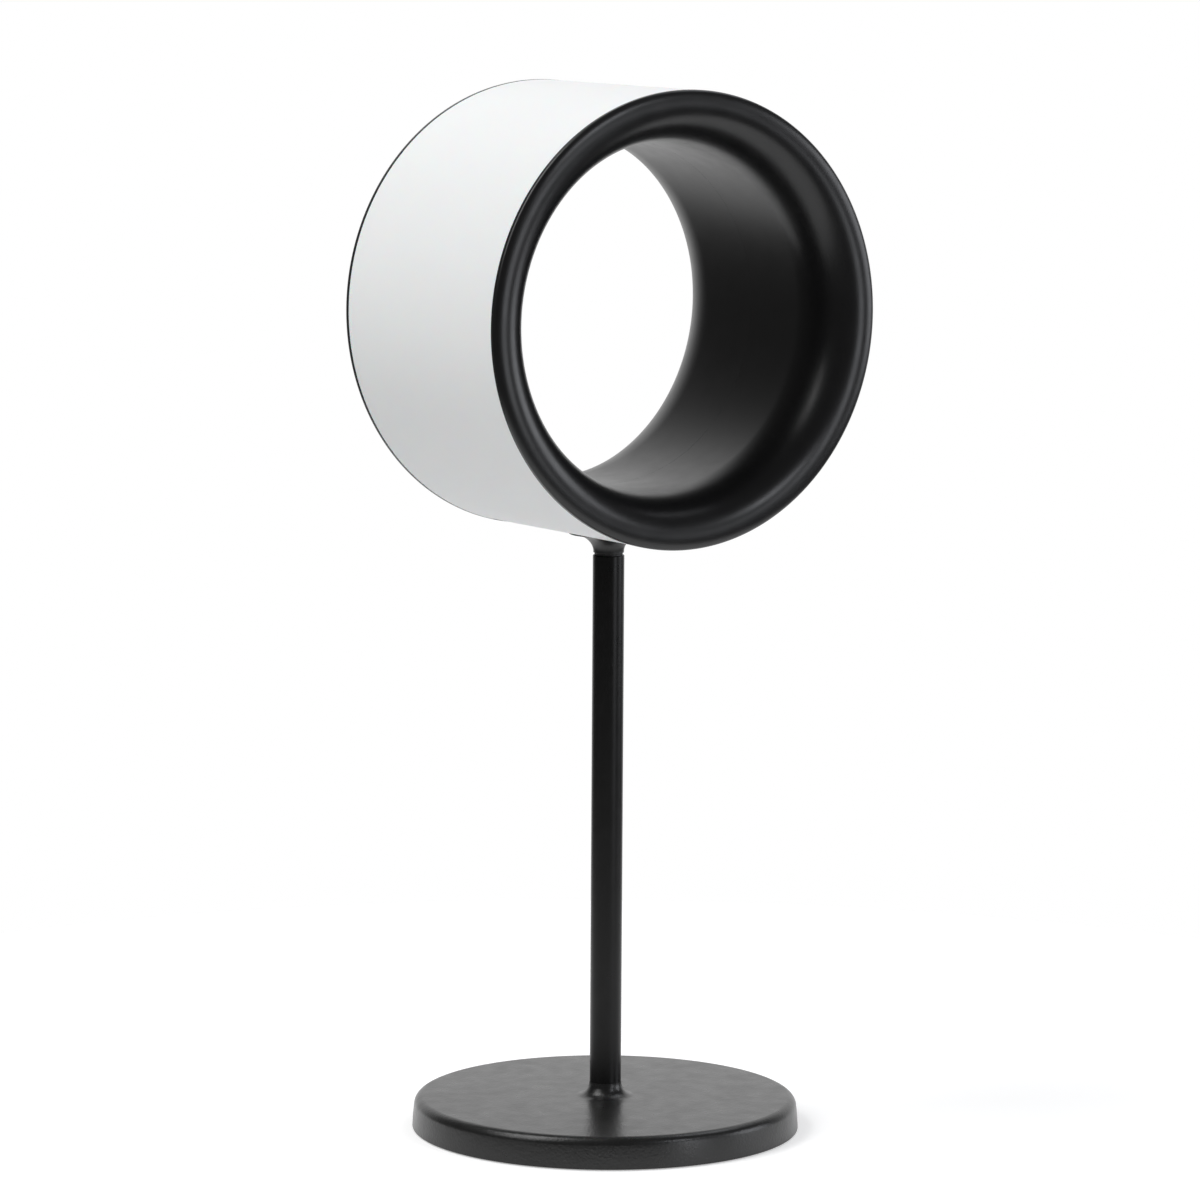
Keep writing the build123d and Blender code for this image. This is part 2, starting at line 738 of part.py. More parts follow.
with BuildPart() as diffuser:
    with BuildSketch(drum_front):
        Circle(sleeve_outside)
        Circle(sleeve_inside, mode=Mode.SUBTRACT)
        with BuildLine():
            slot_half_angle = spine_half_angle + slot_gap / radians(drum_radius)
            Polyline(*wedge(slot_half_angle, 2 * drum_radius), close=True)
        make_face(mode=Mode.SUBTRACT)
    extrude(amount=sleeve_half_length, both=True)
diffuser.part.label = "diffuser"
export_step(diffuser.part, "parts/diffuser.step")

with BuildPart() as throat_band:
    drum_ring(band_inside, band_outside, -band_half_length, band_half_length)
throat_band.part.label = "throat_band"
export_step(throat_band.part, "parts/throat_band.step")

# ---------------------------------------------------------------- light engine
with BuildPart() as led_carrier:
    drum_ring(carrier_inside, carrier_outside, -carrier_half_length, carrier_half_length)
led_carrier.part.label = "led_carrier"
export_step(led_carrier.part, "parts/led_carrier.step")

with BuildPart() as front_led_strip:
    drum_ring(strip_inside, strip_outside, -strip_offset - strip_width / 2, -strip_offset + strip_width / 2)
front_led_strip.part.label = "front_led_strip"
export_step(front_led_strip.part, "parts/front_led_strip.step")

with BuildPart() as rear_led_strip:
    drum_ring(strip_inside, strip_outside, strip_offset - strip_width / 2, strip_offset + strip_width / 2)
rear_led_strip.part.label = "rear_led_strip"
export_step(rear_led_strip.part, "parts/rear_led_strip.step")

with BuildPart() as led_chips:
    for row in (-strip_offset, strip_offset):
        with BuildSketch(drum_front.offset(row)):
            with PolarLocations(strip_outside + chip_height / 2, chip_count):
                Rectangle(chip_height, chip_width)
        extrude(amount=chip_length / 2, both=True)
led_chips.part.label = "led_chips"
export_step(led_chips.part, "parts/led_chips.step")

with BuildPart() as rear_reflector:
    with BuildSketch(drum_section):
        with BuildLine():
            Polyline(
                (reflector_start, band_inside),
                (reflector_start + reflector_wall, band_inside),
                (reflector_end, reflector_tip - reflector_wall),
                (reflector_end, reflector_tip),
                (reflector_start, band_inside + reflector_wall),
                close=True,
            )
        make_face()
    revolve(axis=drum_axis)
rear_reflector.part.label = "rear_reflector"
export_step(rear_reflector.part, "parts/rear_reflector.step")

with BuildPart() as front_reflector:
    mirror(rear_reflector.part, about=Plane.XZ)
front_reflector.part.label = "front_reflector"
export_step(front_reflector.part, "parts/front_reflector.step")

# ---------------------------------------------------------------- driver board
with BuildPart() as driver_board:
    with BuildSketch(Plane.XY.offset(board_bottom)):
        Rectangle(board_width, board_length)
        with GridLocations(2 * board_screw_x, 2 * board_screw_y, 2, 2):
            Circle(board_screw_radius + hole_clearance, mode=Mode.SUBTRACT)
    extrude(amount=board_thickness)
driver_board.part.label = "driver_board"
export_step(driver_board.part, "parts/driver_board.step")

with BuildPart() as board_screws:
    with BuildSketch(Plane.XY.offset(board_top)):
        with GridLocations(2 * board_screw_x, 2 * board_screw_y, 2, 2):
            Circle(board_head_radius)
    extrude(amount=board_head_height)
    with BuildSketch(Plane.XY.offset(board_top)):
        with GridLocations(2 * board_screw_x, 2 * board_screw_y, 2, 2):
            Circle(board_screw_radius)
    extrude(amount=-board_screw_depth)
board_screws.part.label = "board_screws"
export_step(board_screws.part, "parts/board_screws.step")

with BuildPart() as board_components:
    with BuildSketch(Plane.XY.offset(board_top)):
        with Locations((-2 * coil_radius, -coil_radius)):
            Circle(coil_radius)
    extrude(amount=engine_bottom - coil_headroom - board_top)
    with BuildSketch(Plane.XY.offset(board_top)):
        with GridLocations(4 * capacitor_radius, 4 * capacitor_radius, 1, 2):
            with Locations((3 * capacitor_radius, 0)):
                Circle(capacitor_radius)
    extrude(amount=engine_bottom - capacitor_headroom - board_top)
    with BuildSketch(Plane.XY.offset(board_top)):
        with Locations((-strip_lead_x - chip_block_width, 2 * chip_block_length)):
            Rectangle(chip_block_width, chip_block_length)
    extrude(amount=chip_block_height)
board_components.part.label = "board_components"
export_step(board_components.part, "parts/board_components.step")

with BuildPart() as lead_connector:
    with BuildSketch(Plane.XY.offset(board_bottom)):
        Rectangle(connector_width, connector_length)
    extrude(amount=-connector_height)
lead_connector.part.label = "lead_connector"
export_step(lead_connector.part, "parts/lead_connector.step")

with BuildPart() as strip_leads:
    strip_lead_top = under(strip_outside, strip_lead_x + strip_lead_radius) - bond_gap
    with BuildSketch(Plane.XY.offset(board_top)):
        with GridLocations(2 * strip_lead_x, 2 * strip_offset, 2, 2):
            Circle(strip_lead_radius)
    extrude(amount=strip_lead_top - board_top)
strip_leads.part.label = "strip_leads"
export_step(strip_leads.part, "parts/strip_leads.step")

# ---------------------------------------------------------------- dimmer button
switch_bottom = board_bottom - switch_height
plunger_bottom = switch_bottom - plunger_gap - button_travel
flange_bottom = under(sleeve_inside, button_flange_radius) + button_seat_gap

with BuildPart() as switch_housing:
    with BuildSketch(Plane.XY.offset(switch_bottom)):
        with Locations((0, button_offset)):
            Rectangle(switch_size, switch_size)
    extrude(amount=switch_height)
    with BuildSketch(Plane.XY.offset(switch_bottom)):
        with Locations((0, button_offset)):
            Circle(plunger_radius + plunger_room)
    extrude(amount=plunger_entry + button_travel + plunger_room, mode=Mode.SUBTRACT)
switch_housing.part.label = "switch_housing"
export_step(switch_housing.part, "parts/switch_housing.step")

with BuildPart() as switch_plunger:
    with BuildSketch(Plane.XY.offset(plunger_bottom)):
        with Locations((0, button_offset)):
            Circle(plunger_radius)
    extrude(amount=switch_bottom + plunger_entry - plunger_bottom)
switch_plunger.part.label = "switch_plunger"
export_step(switch_plunger.part, "parts/switch_plunger.step")

with BuildPart() as button_cap:
    with BuildSketch(Plane.XY.offset(spine_bottom - button_rise)):
        with Locations((0, button_offset)):
            Circle(button_radius)
    extrude(amount=flange_bottom - spine_bottom + button_rise)
    fillet(button_cap.faces().sort_by(Axis.Z)[0].edges(), button_edge)
    with BuildSketch(Plane.XY.offset(flange_bottom)):
        with Locations((0, button_offset)):
            Circle(button_flange_radius)
    extrude(amount=button_flange_thickness)
    post_bottom = flange_bottom + button_flange_thickness
    with BuildSketch(Plane.XY.offset(post_bottom)):
        with Locations((0, button_offset)):
            Circle(button_post_radius)
    extrude(amount=plunger_bottom - post_bottom)
button_cap.part.label = "button_cap"
export_step(button_cap.part, "parts/button_cap.step")
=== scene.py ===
"""Dresses the table lamp: a hollow drum head that turns on a slim stem above a round weighted base.

Lengths in the classes are millimetres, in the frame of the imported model: +Z is up, the drum's axis
runs along Y, and its front opens towards -Y. Meshes are written in metres.
"""

from __future__ import annotations

import json
import logging
import math
from dataclasses import dataclass
from enum import Enum

import bmesh
import bpy
import numpy as np
from mathutils import Matrix, Vector


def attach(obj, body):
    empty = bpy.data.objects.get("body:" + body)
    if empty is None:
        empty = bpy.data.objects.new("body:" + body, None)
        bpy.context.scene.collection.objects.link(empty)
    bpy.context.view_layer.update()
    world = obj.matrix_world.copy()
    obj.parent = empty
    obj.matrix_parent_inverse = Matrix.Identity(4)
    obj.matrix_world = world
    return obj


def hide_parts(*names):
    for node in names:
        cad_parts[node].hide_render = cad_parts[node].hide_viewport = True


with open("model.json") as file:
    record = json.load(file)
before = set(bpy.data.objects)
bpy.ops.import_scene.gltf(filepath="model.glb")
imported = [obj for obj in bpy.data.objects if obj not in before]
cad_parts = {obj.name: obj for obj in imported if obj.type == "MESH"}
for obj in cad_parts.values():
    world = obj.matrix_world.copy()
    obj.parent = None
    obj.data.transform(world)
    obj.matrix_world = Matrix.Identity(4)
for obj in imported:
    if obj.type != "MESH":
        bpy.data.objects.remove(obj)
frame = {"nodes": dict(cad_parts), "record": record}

MM = 0.001
WHITE = (1.0, 1.0, 1.0, 1.0)
CREASE = 32.0  # edges sharper than this many degrees stay sharp
NOISE_RANGE = (0.3, 0.7)  # where nearly all values of a noise lie
SMEARS = 4.0  # smears for each patch of colour
TURNED_STRETCH = (1.0, 1.0, 12.0)
WAVES = 0.6  # waves for each cell of a sprayed grain
MIX_FIRST, MIX_SECOND, MIX_RESULT = 6, 7, 2  # the mix node's sockets for colours
HOLD_SHARE, HOLD_LENGTH = 0.15, 0.08
LOG = logging.getLogger("lamp")
Pair = tuple[float, float]
Colour = tuple[float, float, float]
Shape = tuple[np.ndarray, np.ndarray]


# ---------------------------------------------------------------- finishes
class Grain(Enum):
    """The fine relief of a finish."""

    MOULDED = "moulded"
    SPRAYED = "sprayed"
    TURNED = "turned"
    FOAMED = "foamed"


@dataclass(frozen=True)
class Finish:
    """A surface finish, made as one node material on Object coordinates.

    The colour drifts towards its second tone in broad soft patches, the roughness drifts with
    finer ones, and the grain is a bump whose depth is given in millimetres.
    """

    name: str
    colour: Colour
    second: Colour
    roughness: float
    drift: float = 0.04
    patch: float = 25.0
    grain: Grain = Grain.MOULDED
    grain_scale: float = 1500.0
    grain_depth: float = 0.004
    metallic: float = 0.0
    specular: float = 0.5
    coat: float = 0.0
    coat_roughness: float = 0.1
    subsurface: float = 0.0
    subsurface_scale: float = 0.004

    def material(self) -> bpy.types.Material:
        """Gives the finish's material, which is made the first time it is asked for.

        Returns:
            The material, with every constant set on the shader's own sockets.
        """
        label = f"finish_{self.name}"
        known = bpy.data.materials.get(label)
        if known:
            return known
        made = bpy.data.materials.new(label)
        made.use_nodes = True
        tree = Nodes(made.node_tree)
        shader = tree.add("ShaderNodeBsdfPrincipled")
        for socket, value in (
            ("Metallic", self.metallic),
            ("Specular IOR Level", self.specular),
            ("Coat Weight", self.coat),
            ("Coat Roughness", self.coat_roughness),
            ("Subsurface Weight", self.subsurface),
            ("Subsurface Scale", self.subsurface_scale),
        ):
            shader.inputs[socket].default_value = value
        place = tree.add("ShaderNodeTexCoord").outputs["Object"]
        patches = tree.noise(place, self.patch, detail=2.0)
        tone = tree.mix(patches, self.colour, self.second)
        tree.link(tone, shader.inputs["Base Color"])
        smears = tree.noise(place, SMEARS * self.patch, detail=4.0)
        rough = tree.spread(smears, self.roughness - self.drift, self.roughness + self.drift)
        tree.link(rough, shader.inputs["Roughness"])
        bump = tree.add("ShaderNodeBump")
        bump.inputs["Strength"].default_value = 1.0
        bump.inputs["Distance"].default_value = self.grain_depth * MM
        tree.link(self.relief(tree, place), bump.inputs["Height"])
        tree.link(bump.outputs["Normal"], shader.inputs["Normal"])
        output = tree.add("ShaderNodeOutputMaterial")
        tree.link(shader.outputs["BSDF"], output.inputs["Surface"])
        return made

    def relief(self, tree: Nodes, place: bpy.types.NodeSocket) -> bpy.types.NodeSocket:
        """Builds the grain's height.

        Args:
            tree: The material's nodes.
            place: The Object coordinates.

        Returns:
            A height from 0 to 1.
        """
        if self.grain is Grain.TURNED:
            squeezed = tree.stretch(place, TURNED_STRETCH)
            return tree.noise(squeezed, self.grain_scale, detail=2.0)
        if self.grain is Grain.MOULDED:
            return tree.noise(place, self.grain_scale, detail=3.0)
        cells = tree.cells(place, self.grain_scale)
        if self.grain is Grain.FOAMED:
            return cells
        waves = tree.noise(place, WAVES * self.grain_scale, detail=2.0)
        return tree.math("ADD", cells, waves)

    def dress(self, piece: bpy.types.Object) -> None:
        """Puts the finish on every face of a piece."""
        piece.data.materials.clear()
        piece.data.materials.append(self.material())


class Nodes:
    """A node tree that is being filled."""

    def __init__(self, tree: bpy.types.NodeTree) -> None:
        """Empties the tree."""
        self.tree = tree
        tree.nodes.clear()

    def add(self, kind: str) -> bpy.types.Node:
        """Adds a node of that kind."""
        return self.tree.nodes.new(kind)

    def link(self, source: bpy.types.NodeSocket, target: bpy.types.NodeSocket) -> None:
        """Joins two sockets."""
        self.tree.links.new(source, target)

    def noise(self, place: bpy.types.NodeSocket, scale: float, detail: float) -> bpy.types.NodeSocket:
        """Adds soft noise with that many features in a metre."""
        node = self.add("ShaderNodeTexNoise")
        node.inputs["Scale"].default_value = scale
        node.inputs["Detail"].default_value = detail
        self.link(place, node.inputs["Vector"])
        return node.outputs["Fac"]

    def cells(self, place: bpy.types.NodeSocket, scale: float) -> bpy.types.NodeSocket:
        """Adds rounded cells, as in the skin of a powder coat, with that many in a metre."""
        node = self.add("ShaderNodeTexVoronoi")
        node.feature = "SMOOTH_F1"
        node.inputs["Scale"].default_value = scale
        self.link(place, node.inputs["Vector"])
        return node.outputs["Distance"]

    def stretch(self, place: bpy.types.NodeSocket, factors: Colour) -> bpy.types.NodeSocket:
        """Stretches a pattern by a factor along each axis."""
        node = self.add("ShaderNodeMapping")
        node.inputs["Scale"].default_value = factors
        self.link(place, node.inputs["Vector"])
        return node.outputs["Vector"]

    def mix(self, share: bpy.types.NodeSocket, first: Colour, second: Colour) -> bpy.types.NodeSocket:
        """Mixes two colours by a share from 0 to 1."""
        node = self.add("ShaderNodeMix")
        node.data_type = "RGBA"
        node.inputs[MIX_FIRST].default_value = (*first, 1.0)
        node.inputs[MIX_SECOND].default_value = (*second, 1.0)
        self.link(share, node.inputs["Factor"])
        return node.outputs[MIX_RESULT]

    def spread(self, share: bpy.types.NodeSocket, low: float, high: float) -> bpy.types.NodeSocket:
        """Spreads the middle of a noise over a range."""
        node = self.add("ShaderNodeMapRange")
        self.set_ranges(node, NOISE_RANGE, (low, high))
        self.link(share, node.inputs["Value"])
        return node.outputs["Result"]

    @staticmethod
    def set_ranges(node: bpy.types.Node, source: Pair, target: Pair) -> None:
        """Sets what a range node maps from and to."""
        names = ("From Min", "From Max", "To Min", "To Max")
        for name, value in zip(names, (*source, *target)):
            node.inputs[name].default_value = value

    def math(
        self, operation: str, first: bpy.types.NodeSocket, second: bpy.types.NodeSocket
    ) -> bpy.types.NodeSocket:
        """Joins two values by one step of arithmetic."""
        node = self.add("ShaderNodeMath")
        node.operation = operation
        self.link(first, node.inputs[0])
        self.link(second, node.inputs[1])
        return node.outputs[0]


SATIN_BLACK = Finish(
    "satin_black_moulding",
    colour=(0.0055, 0.0055, 0.006),
    second=(0.0075, 0.0073, 0.0077),
    roughness=0.31,
    drift=0.02,
    grain_scale=2200.0,
    grain_depth=0.003,
)
POWDER_COAT = Finish(
    "black_powder_coat",
    colour=(0.008, 0.008, 0.008),
    second=(0.011, 0.0108, 0.0105),
    roughness=0.3,
    drift=0.03,
    specular=0.45,
    grain=Grain.SPRAYED,
    grain_scale=800.0,
    grain_depth=0.06,
)
TUBE_COAT = Finish(
    "smooth_tube_coat",
    colour=(0.0045, 0.0045, 0.0045),
    second=(0.006, 0.0058, 0.0057),
    roughness=0.3,
    drift=0.03,
    specular=0.26,
    grain=Grain.SPRAYED,
    grain_scale=1300.0,
    grain_depth=0.006,
)
NECK_COAT = Finish(
    "neck_coat",
    colour=(0.006, 0.0059, 0.0058),
    second=(0.009, 0.0088, 0.0086),
    roughness=0.38,
    grain=Grain.SPRAYED,
    grain_scale=1300.0,
    grain_depth=0.006,
)
OPAL = Finish(
    "opal_sleeve",
    colour=(0.87, 0.875, 0.875),
    second=(0.885, 0.89, 0.89),
    roughness=0.46,
    drift=0.03,
    specular=0.4,
    grain_scale=1800.0,
    grain_depth=0.003,
    subsurface=0.2,
)
MATT_BLACK = Finish(
    "matt_black_moulding", colour=(0.018, 0.018, 0.018), second=(0.023, 0.022, 0.022), roughness=0.55
)
BEARING = Finish(
    "bearing_plastic", colour=(0.01, 0.01, 0.01), second=(0.014, 0.014, 0.014), roughness=0.5
)
ZINC = Finish(
    "zinc_steel",
    colour=(0.5, 0.51, 0.53),
    second=(0.58, 0.58, 0.57),
    roughness=0.34,
    drift=0.07,
    metallic=1.0,
    grain=Grain.TURNED,
    grain_depth=0.003,
)
CAST_IRON = Finish(
    "raw_iron",
    colour=(0.1, 0.1, 0.1),
    second=(0.15, 0.145, 0.14),
    roughness=0.62,
    metallic=1.0,
    grain=Grain.SPRAYED,
    grain_scale=600.0,
    grain_depth=0.08,
)
RUBBER = Finish(
    "foot_rubber",
    colour=(0.018, 0.018, 0.018),
    second=(0.026, 0.026, 0.026),
    roughness=0.85,
    grain=Grain.FOAMED,
    grain_scale=1100.0,
    grain_depth=0.12,
    specular=0.3,
)
BRASS = Finish(
    "contact_brass", colour=(0.72, 0.53, 0.24), second=(0.78, 0.6, 0.3), roughness=0.28, metallic=1.0
)
ALUMINIUM = Finish(
    "mill_aluminium",
    colour=(0.74, 0.75, 0.76),
    second=(0.8, 0.8, 0.8),
    roughness=0.38,
    metallic=1.0,
    grain=Grain.TURNED,
)
STRIP_WHITE = Finish(
    "white_solder_mask", colour=(0.82, 0.82, 0.8), second=(0.86, 0.86, 0.84), roughness=0.45
)
PHOSPHOR = Finish(
    "phosphor_gel", colour=(0.83, 0.66, 0.16), second=(0.88, 0.72, 0.24), roughness=0.3, coat=0.4
)
REFLECTOR = Finish(
    "reflector_white", colour=(0.86, 0.86, 0.86), second=(0.89, 0.89, 0.89), roughness=0.25
)
BOARD_GREEN = Finish(
    "green_solder_mask", colour=(0.03, 0.17, 0.07), second=(0.045, 0.22, 0.1), roughness=0.35, coat=0.3
)
LEAD_SHEATH = Finish(
    "lead_sheath", colour=(0.02, 0.02, 0.02), second=(0.028, 0.028, 0.028), roughness=0.6
)

SLOT_FINISHES: dict[str, Finish] = {
    "black_powder_coat": POWDER_COAT,
    "black_tube_coat": TUBE_COAT,
    "black_aluminium": SATIN_BLACK,
    "satin_black": SATIN_BLACK,
    "opal_white": OPAL,
    "black_moulding": MATT_BLACK,
    "bearing_plastic": BEARING,
    "zinc_steel": ZINC,
    "raw_iron": CAST_IRON,
    "foot_rubber": RUBBER,
    "contact_brass": BRASS,
    "lead_sheath": LEAD_SHEATH,
    "bare_aluminium": ALUMINIUM,
    "strip_white": STRIP_WHITE,
    "chip_yellow": PHOSPHOR,
    "reflector_white": REFLECTOR,
    "board_green": BOARD_GREEN,
}


# ---------------------------------------------------------------- surfaces
class Spin(Enum):
    """The line that a section turns about."""

    UPRIGHT = "up the stem"
    LENGTHWISE = "along the drum"


class Body(Enum):
    """The bodies that pieces ride on."""

    BASE = "base"
    HEAD = "head"
    BUTTON = "button"


def rounded(corners: np.ndarray, steps: int = 7, closed: bool = True) -> np.ndarray:
    """Rounds the corners of a section.

    At a corner P with radius r, unit directions a and b to its neighbours and half angle h between
    them, the arc starts at P + a r / tan h, ends at P + b r / tan h, and has its centre at
    P + (a + b) / |a + b| r / sin h. Between, a point is the centre plus the two end spokes weighted
    by sin((1 - s) w) / sin w and sin(s w) / sin w, with w = pi - 2 h. A holding point just before
    and just after each arc keeps the flats beside it flat.

    Args:
        corners: Rows of first coordinate, second coordinate and radius.
        steps: Points on each arc.
        closed: Whether the section is a loop.

    Returns:
        Rows of the two coordinates, without repeated points.
    """
    spots, radii = corners[:, :2], corners[:, 2].copy()
    if not closed:
        radii[[0, -1]] = 0.0
    before = np.roll(spots, 1, axis=0) - spots
    after = np.roll(spots, -1, axis=0) - spots
    if not closed:
        before[0], after[-1] = -after[0], -before[-1]
    before /= np.linalg.norm(before, axis=1, keepdims=True)
    after /= np.linalg.norm(after, axis=1, keepdims=True)
    cosine = np.clip(np.sum(before * after, axis=1), -1.0, 1.0)
    half = np.clip(np.arccos(cosine) / 2, 1e-4, math.pi / 2 - 1e-4)
    middle = before + after
    middle /= np.maximum(np.linalg.norm(middle, axis=1, keepdims=True), 1e-9)
    setback = (radii / np.tan(half))[:, None]
    hold = np.where(radii > 0, HOLD_SHARE * radii + HOLD_LENGTH, 0.0)[:, None]
    centre = spots + middle * (radii / np.sin(half))[:, None]
    first = spots + before * setback - centre
    last = spots + after * setback - centre
    sweep = (math.pi - 2 * half)[:, None, None]
    share = np.linspace(0.0, 1.0, steps)[None, :, None]
    weighted = np.sin((1 - share) * sweep) * first[:, None] + np.sin(share * sweep) * last[:, None]
    arcs = centre[:, None] + weighted / np.sin(sweep)
    arcs = np.where(radii[:, None, None] > 0, arcs, spots[:, None])
    lead_in = (spots + before * (setback + hold))[:, None]
    lead_out = (spots + after * (setback + hold))[:, None]
    points = np.concatenate([lead_in, arcs, lead_out], axis=1).reshape(-1, 2)
    gaps = np.linalg.norm(points - np.roll(points, 1, axis=0), axis=1)
    keep = gaps > 1e-6
    keep[0] = True
    return points[keep]


def plain(points: np.ndarray) -> np.ndarray:
    """Adds a third column of zeros: the points' corner radius."""
    return np.column_stack([points, np.zeros(len(points))])


def arc(centre: Pair, radii: Pair, start: float, end: float, count: int) -> np.ndarray:
    """Samples part of an ellipse: centre + (radius_1 cos t, radius_2 sin t), t in degrees.

    Args:
        centre: The ellipse's centre.
        radii: Its two half axes.
        start: The first angle.
        end: The last angle.
        count: How many points.

    Returns:
        Rows of two coordinates.
    """
    t = np.radians(np.linspace(start, end, count))
    return np.column_stack([centre[0] + radii[0] * np.cos(t), centre[1] + radii[1] * np.sin(t)])


def grid_faces(rows: int, columns: int, rows_closed: bool, columns_closed: bool) -> np.ndarray:
    """Numbers the four-sided faces of a grid of points.

    The face at row i and column j joins points (i, j), (i + 1, j), (i + 1, j + 1) and (i, j + 1).

    Args:
        rows: Points along the section.
        columns: Points along the way that the section is carried.
        rows_closed: Whether the last row joins the first.
        columns_closed: Whether the last column joins the first.

    Returns:
        Rows of four point numbers.
    """
    i = np.arange(rows if rows_closed else rows - 1)[:, None]
    j = np.arange(columns if columns_closed else columns - 1)[None, :]
    i_next, j_next = (i + 1) % rows, (j + 1) % columns
    corners = [i * columns + j, i_next * columns + j, i_next * columns + j_next, i * columns + j_next]
    return np.stack(np.broadcast_arrays(*corners), axis=-1).reshape(-1, 4)


def turned(
    section: np.ndarray,
    sides: int,
    spin: Spin = Spin.UPRIGHT,
    centre: Colour = (0.0, 0.0, 0.0),
    closed: bool = True,
) -> Shape:
    """Turns a section all the way round.

    A section point at radius r and place h comes at turn u to (r cos u, r sin u, h) for an upright
    piece and to (r cos u, h, r sin u) for a lengthwise one, plus the centre.

    Args:
        section: Rows of radius and place along the axis.
        sides: Points round the turn.
        spin: The axis.
        centre: A point on the axis.
        closed: Whether the section is a loop; an open one starts and ends on the axis.

    Returns:
        Points in millimetres and faces.
    """
    u = np.arange(sides) * (2 * math.pi / sides)
    radius, place = section[:, :1], section[:, 1:]
    across, other = radius * np.cos(u), radius * np.sin(u)
    along = np.broadcast_to(place, across.shape)
    order = (across, other, along) if spin is Spin.UPRIGHT else (across, along, other)
    points = np.stack(order, axis=-1).reshape(-1, 3) + np.array(centre)
    return points, grid_faces(len(section), sides, closed, True)


def bent(section: np.ndarray, start: float, end: float, columns: int, height: float) -> Shape:
    """Carries a closed section along an arc about the drum's axis; both ends are left open.

    A section point at place y and radius r comes at angle u to (r sin u, y, height - r cos u), so
    that u = 0 is straight down.

    Args:
        section: Rows of place along the drum and radius.
        start: The first angle in degrees.
        end: The last angle in degrees.
        columns: Points along the arc.
        height: The drum's axis above the floor.

    Returns:
        Points in millimetres and the four-sided faces; the two ends are left open.
    """
    u = np.radians(np.linspace(start, end, columns))
    place, radius = section[:, :1], section[:, 1:]
    along = np.broadcast_to(place, (len(section), columns))
    points = np.stack([radius * np.sin(u), along, height - radius * np.cos(u)], axis=-1).reshape(-1, 3)
    return points, grid_faces(len(section), columns, True, False)


class Maker:
    """Turns shapes into pieces on their bodies."""

    @staticmethod
    def mesh(name: str, shape: Shape, ends: bool = False) -> bpy.types.Object:
        """Writes a shape into a new mesh object, merges poles and points its faces outwards.

        Args:
            name: The object's name.
            shape: Points in millimetres and faces.
            ends: Whether to close the open ends of a bent shape.

        Returns:
            The object, at the origin.
        """
        points, faces = shape
        data = bpy.data.meshes.new(name)
        data.from_pydata((points * MM).tolist(), [], faces.tolist())
        work = bmesh.new()
        work.from_mesh(data)
        bmesh.ops.remove_doubles(work, verts=work.verts, dist=1e-7)
        bmesh.ops.dissolve_degenerate(work, edges=work.edges, dist=1e-8)
        if ends:
            open_edges = [edge for edge in work.edges if edge.is_boundary]
            bmesh.ops.holes_fill(work, edges=open_edges, sides=0)
        bmesh.ops.recalc_face_normals(work, faces=work.faces)
        work.to_mesh(data)
        work.free()
        piece = bpy.data.objects.new(name, data)
        bpy.context.scene.collection.objects.link(piece)
        Maker.shade(piece)
        return piece

    @staticmethod
    def shade(piece: bpy.types.Object) -> None:
        """Shades a piece smooth, apart from its sharp edges."""
        data = piece.data
        data.polygons.foreach_set("use_smooth", np.ones(len(data.polygons), dtype=bool))
        data.set_sharp_from_angle(angle=math.radians(CREASE))
        data.update()

    @staticmethod
    def carve(piece: bpy.types.Object, cutters: list[bpy.types.Object]) -> None:
        """Cuts solids out of a piece and removes them.

        Args:
            piece: The piece to cut.
            cutters: Closed meshes.
        """
        for cutter in cutters:
            cut = piece.modifiers.new("cut", "BOOLEAN")
            cut.operation = "DIFFERENCE"
            cut.solver = "EXACT"
            cut.object = cutter
        view = bpy.context.evaluated_depsgraph_get()
        carved = bpy.data.meshes.new_from_object(piece.evaluated_get(view))
        piece.modifiers.clear()
        piece.data = carved
        for cutter in cutters:
            bpy.data.objects.remove(cutter)
        Maker.shade(piece)

    @staticmethod
    def fit(
        piece: bpy.types.Object, finish: Finish, body: Body, slot: str, nodes: tuple[str, ...]
    ) -> bpy.types.Object:
        """Dresses a piece, puts it on its body and hides the nodes that it stands for.

        Args:
            piece: The piece.
            finish: Its finish.
            body: The body that it rides on.
            slot: The record's material slot; not used.
            nodes: The nodes that it replaces.

        Returns:
            The piece.
        """
        finish.dress(piece)
        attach(piece, body.value)
        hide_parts(*nodes)
        LOG.info("%s: %d faces, on %s, for %s", piece.name, len(piece.data.polygons), body.value, nodes)
        return piece


# ---------------------------------------------------------------- the drum head
class End(Enum):
    """The two ends of the drum."""

    FRONT = -1.0
    REAR = 1.0


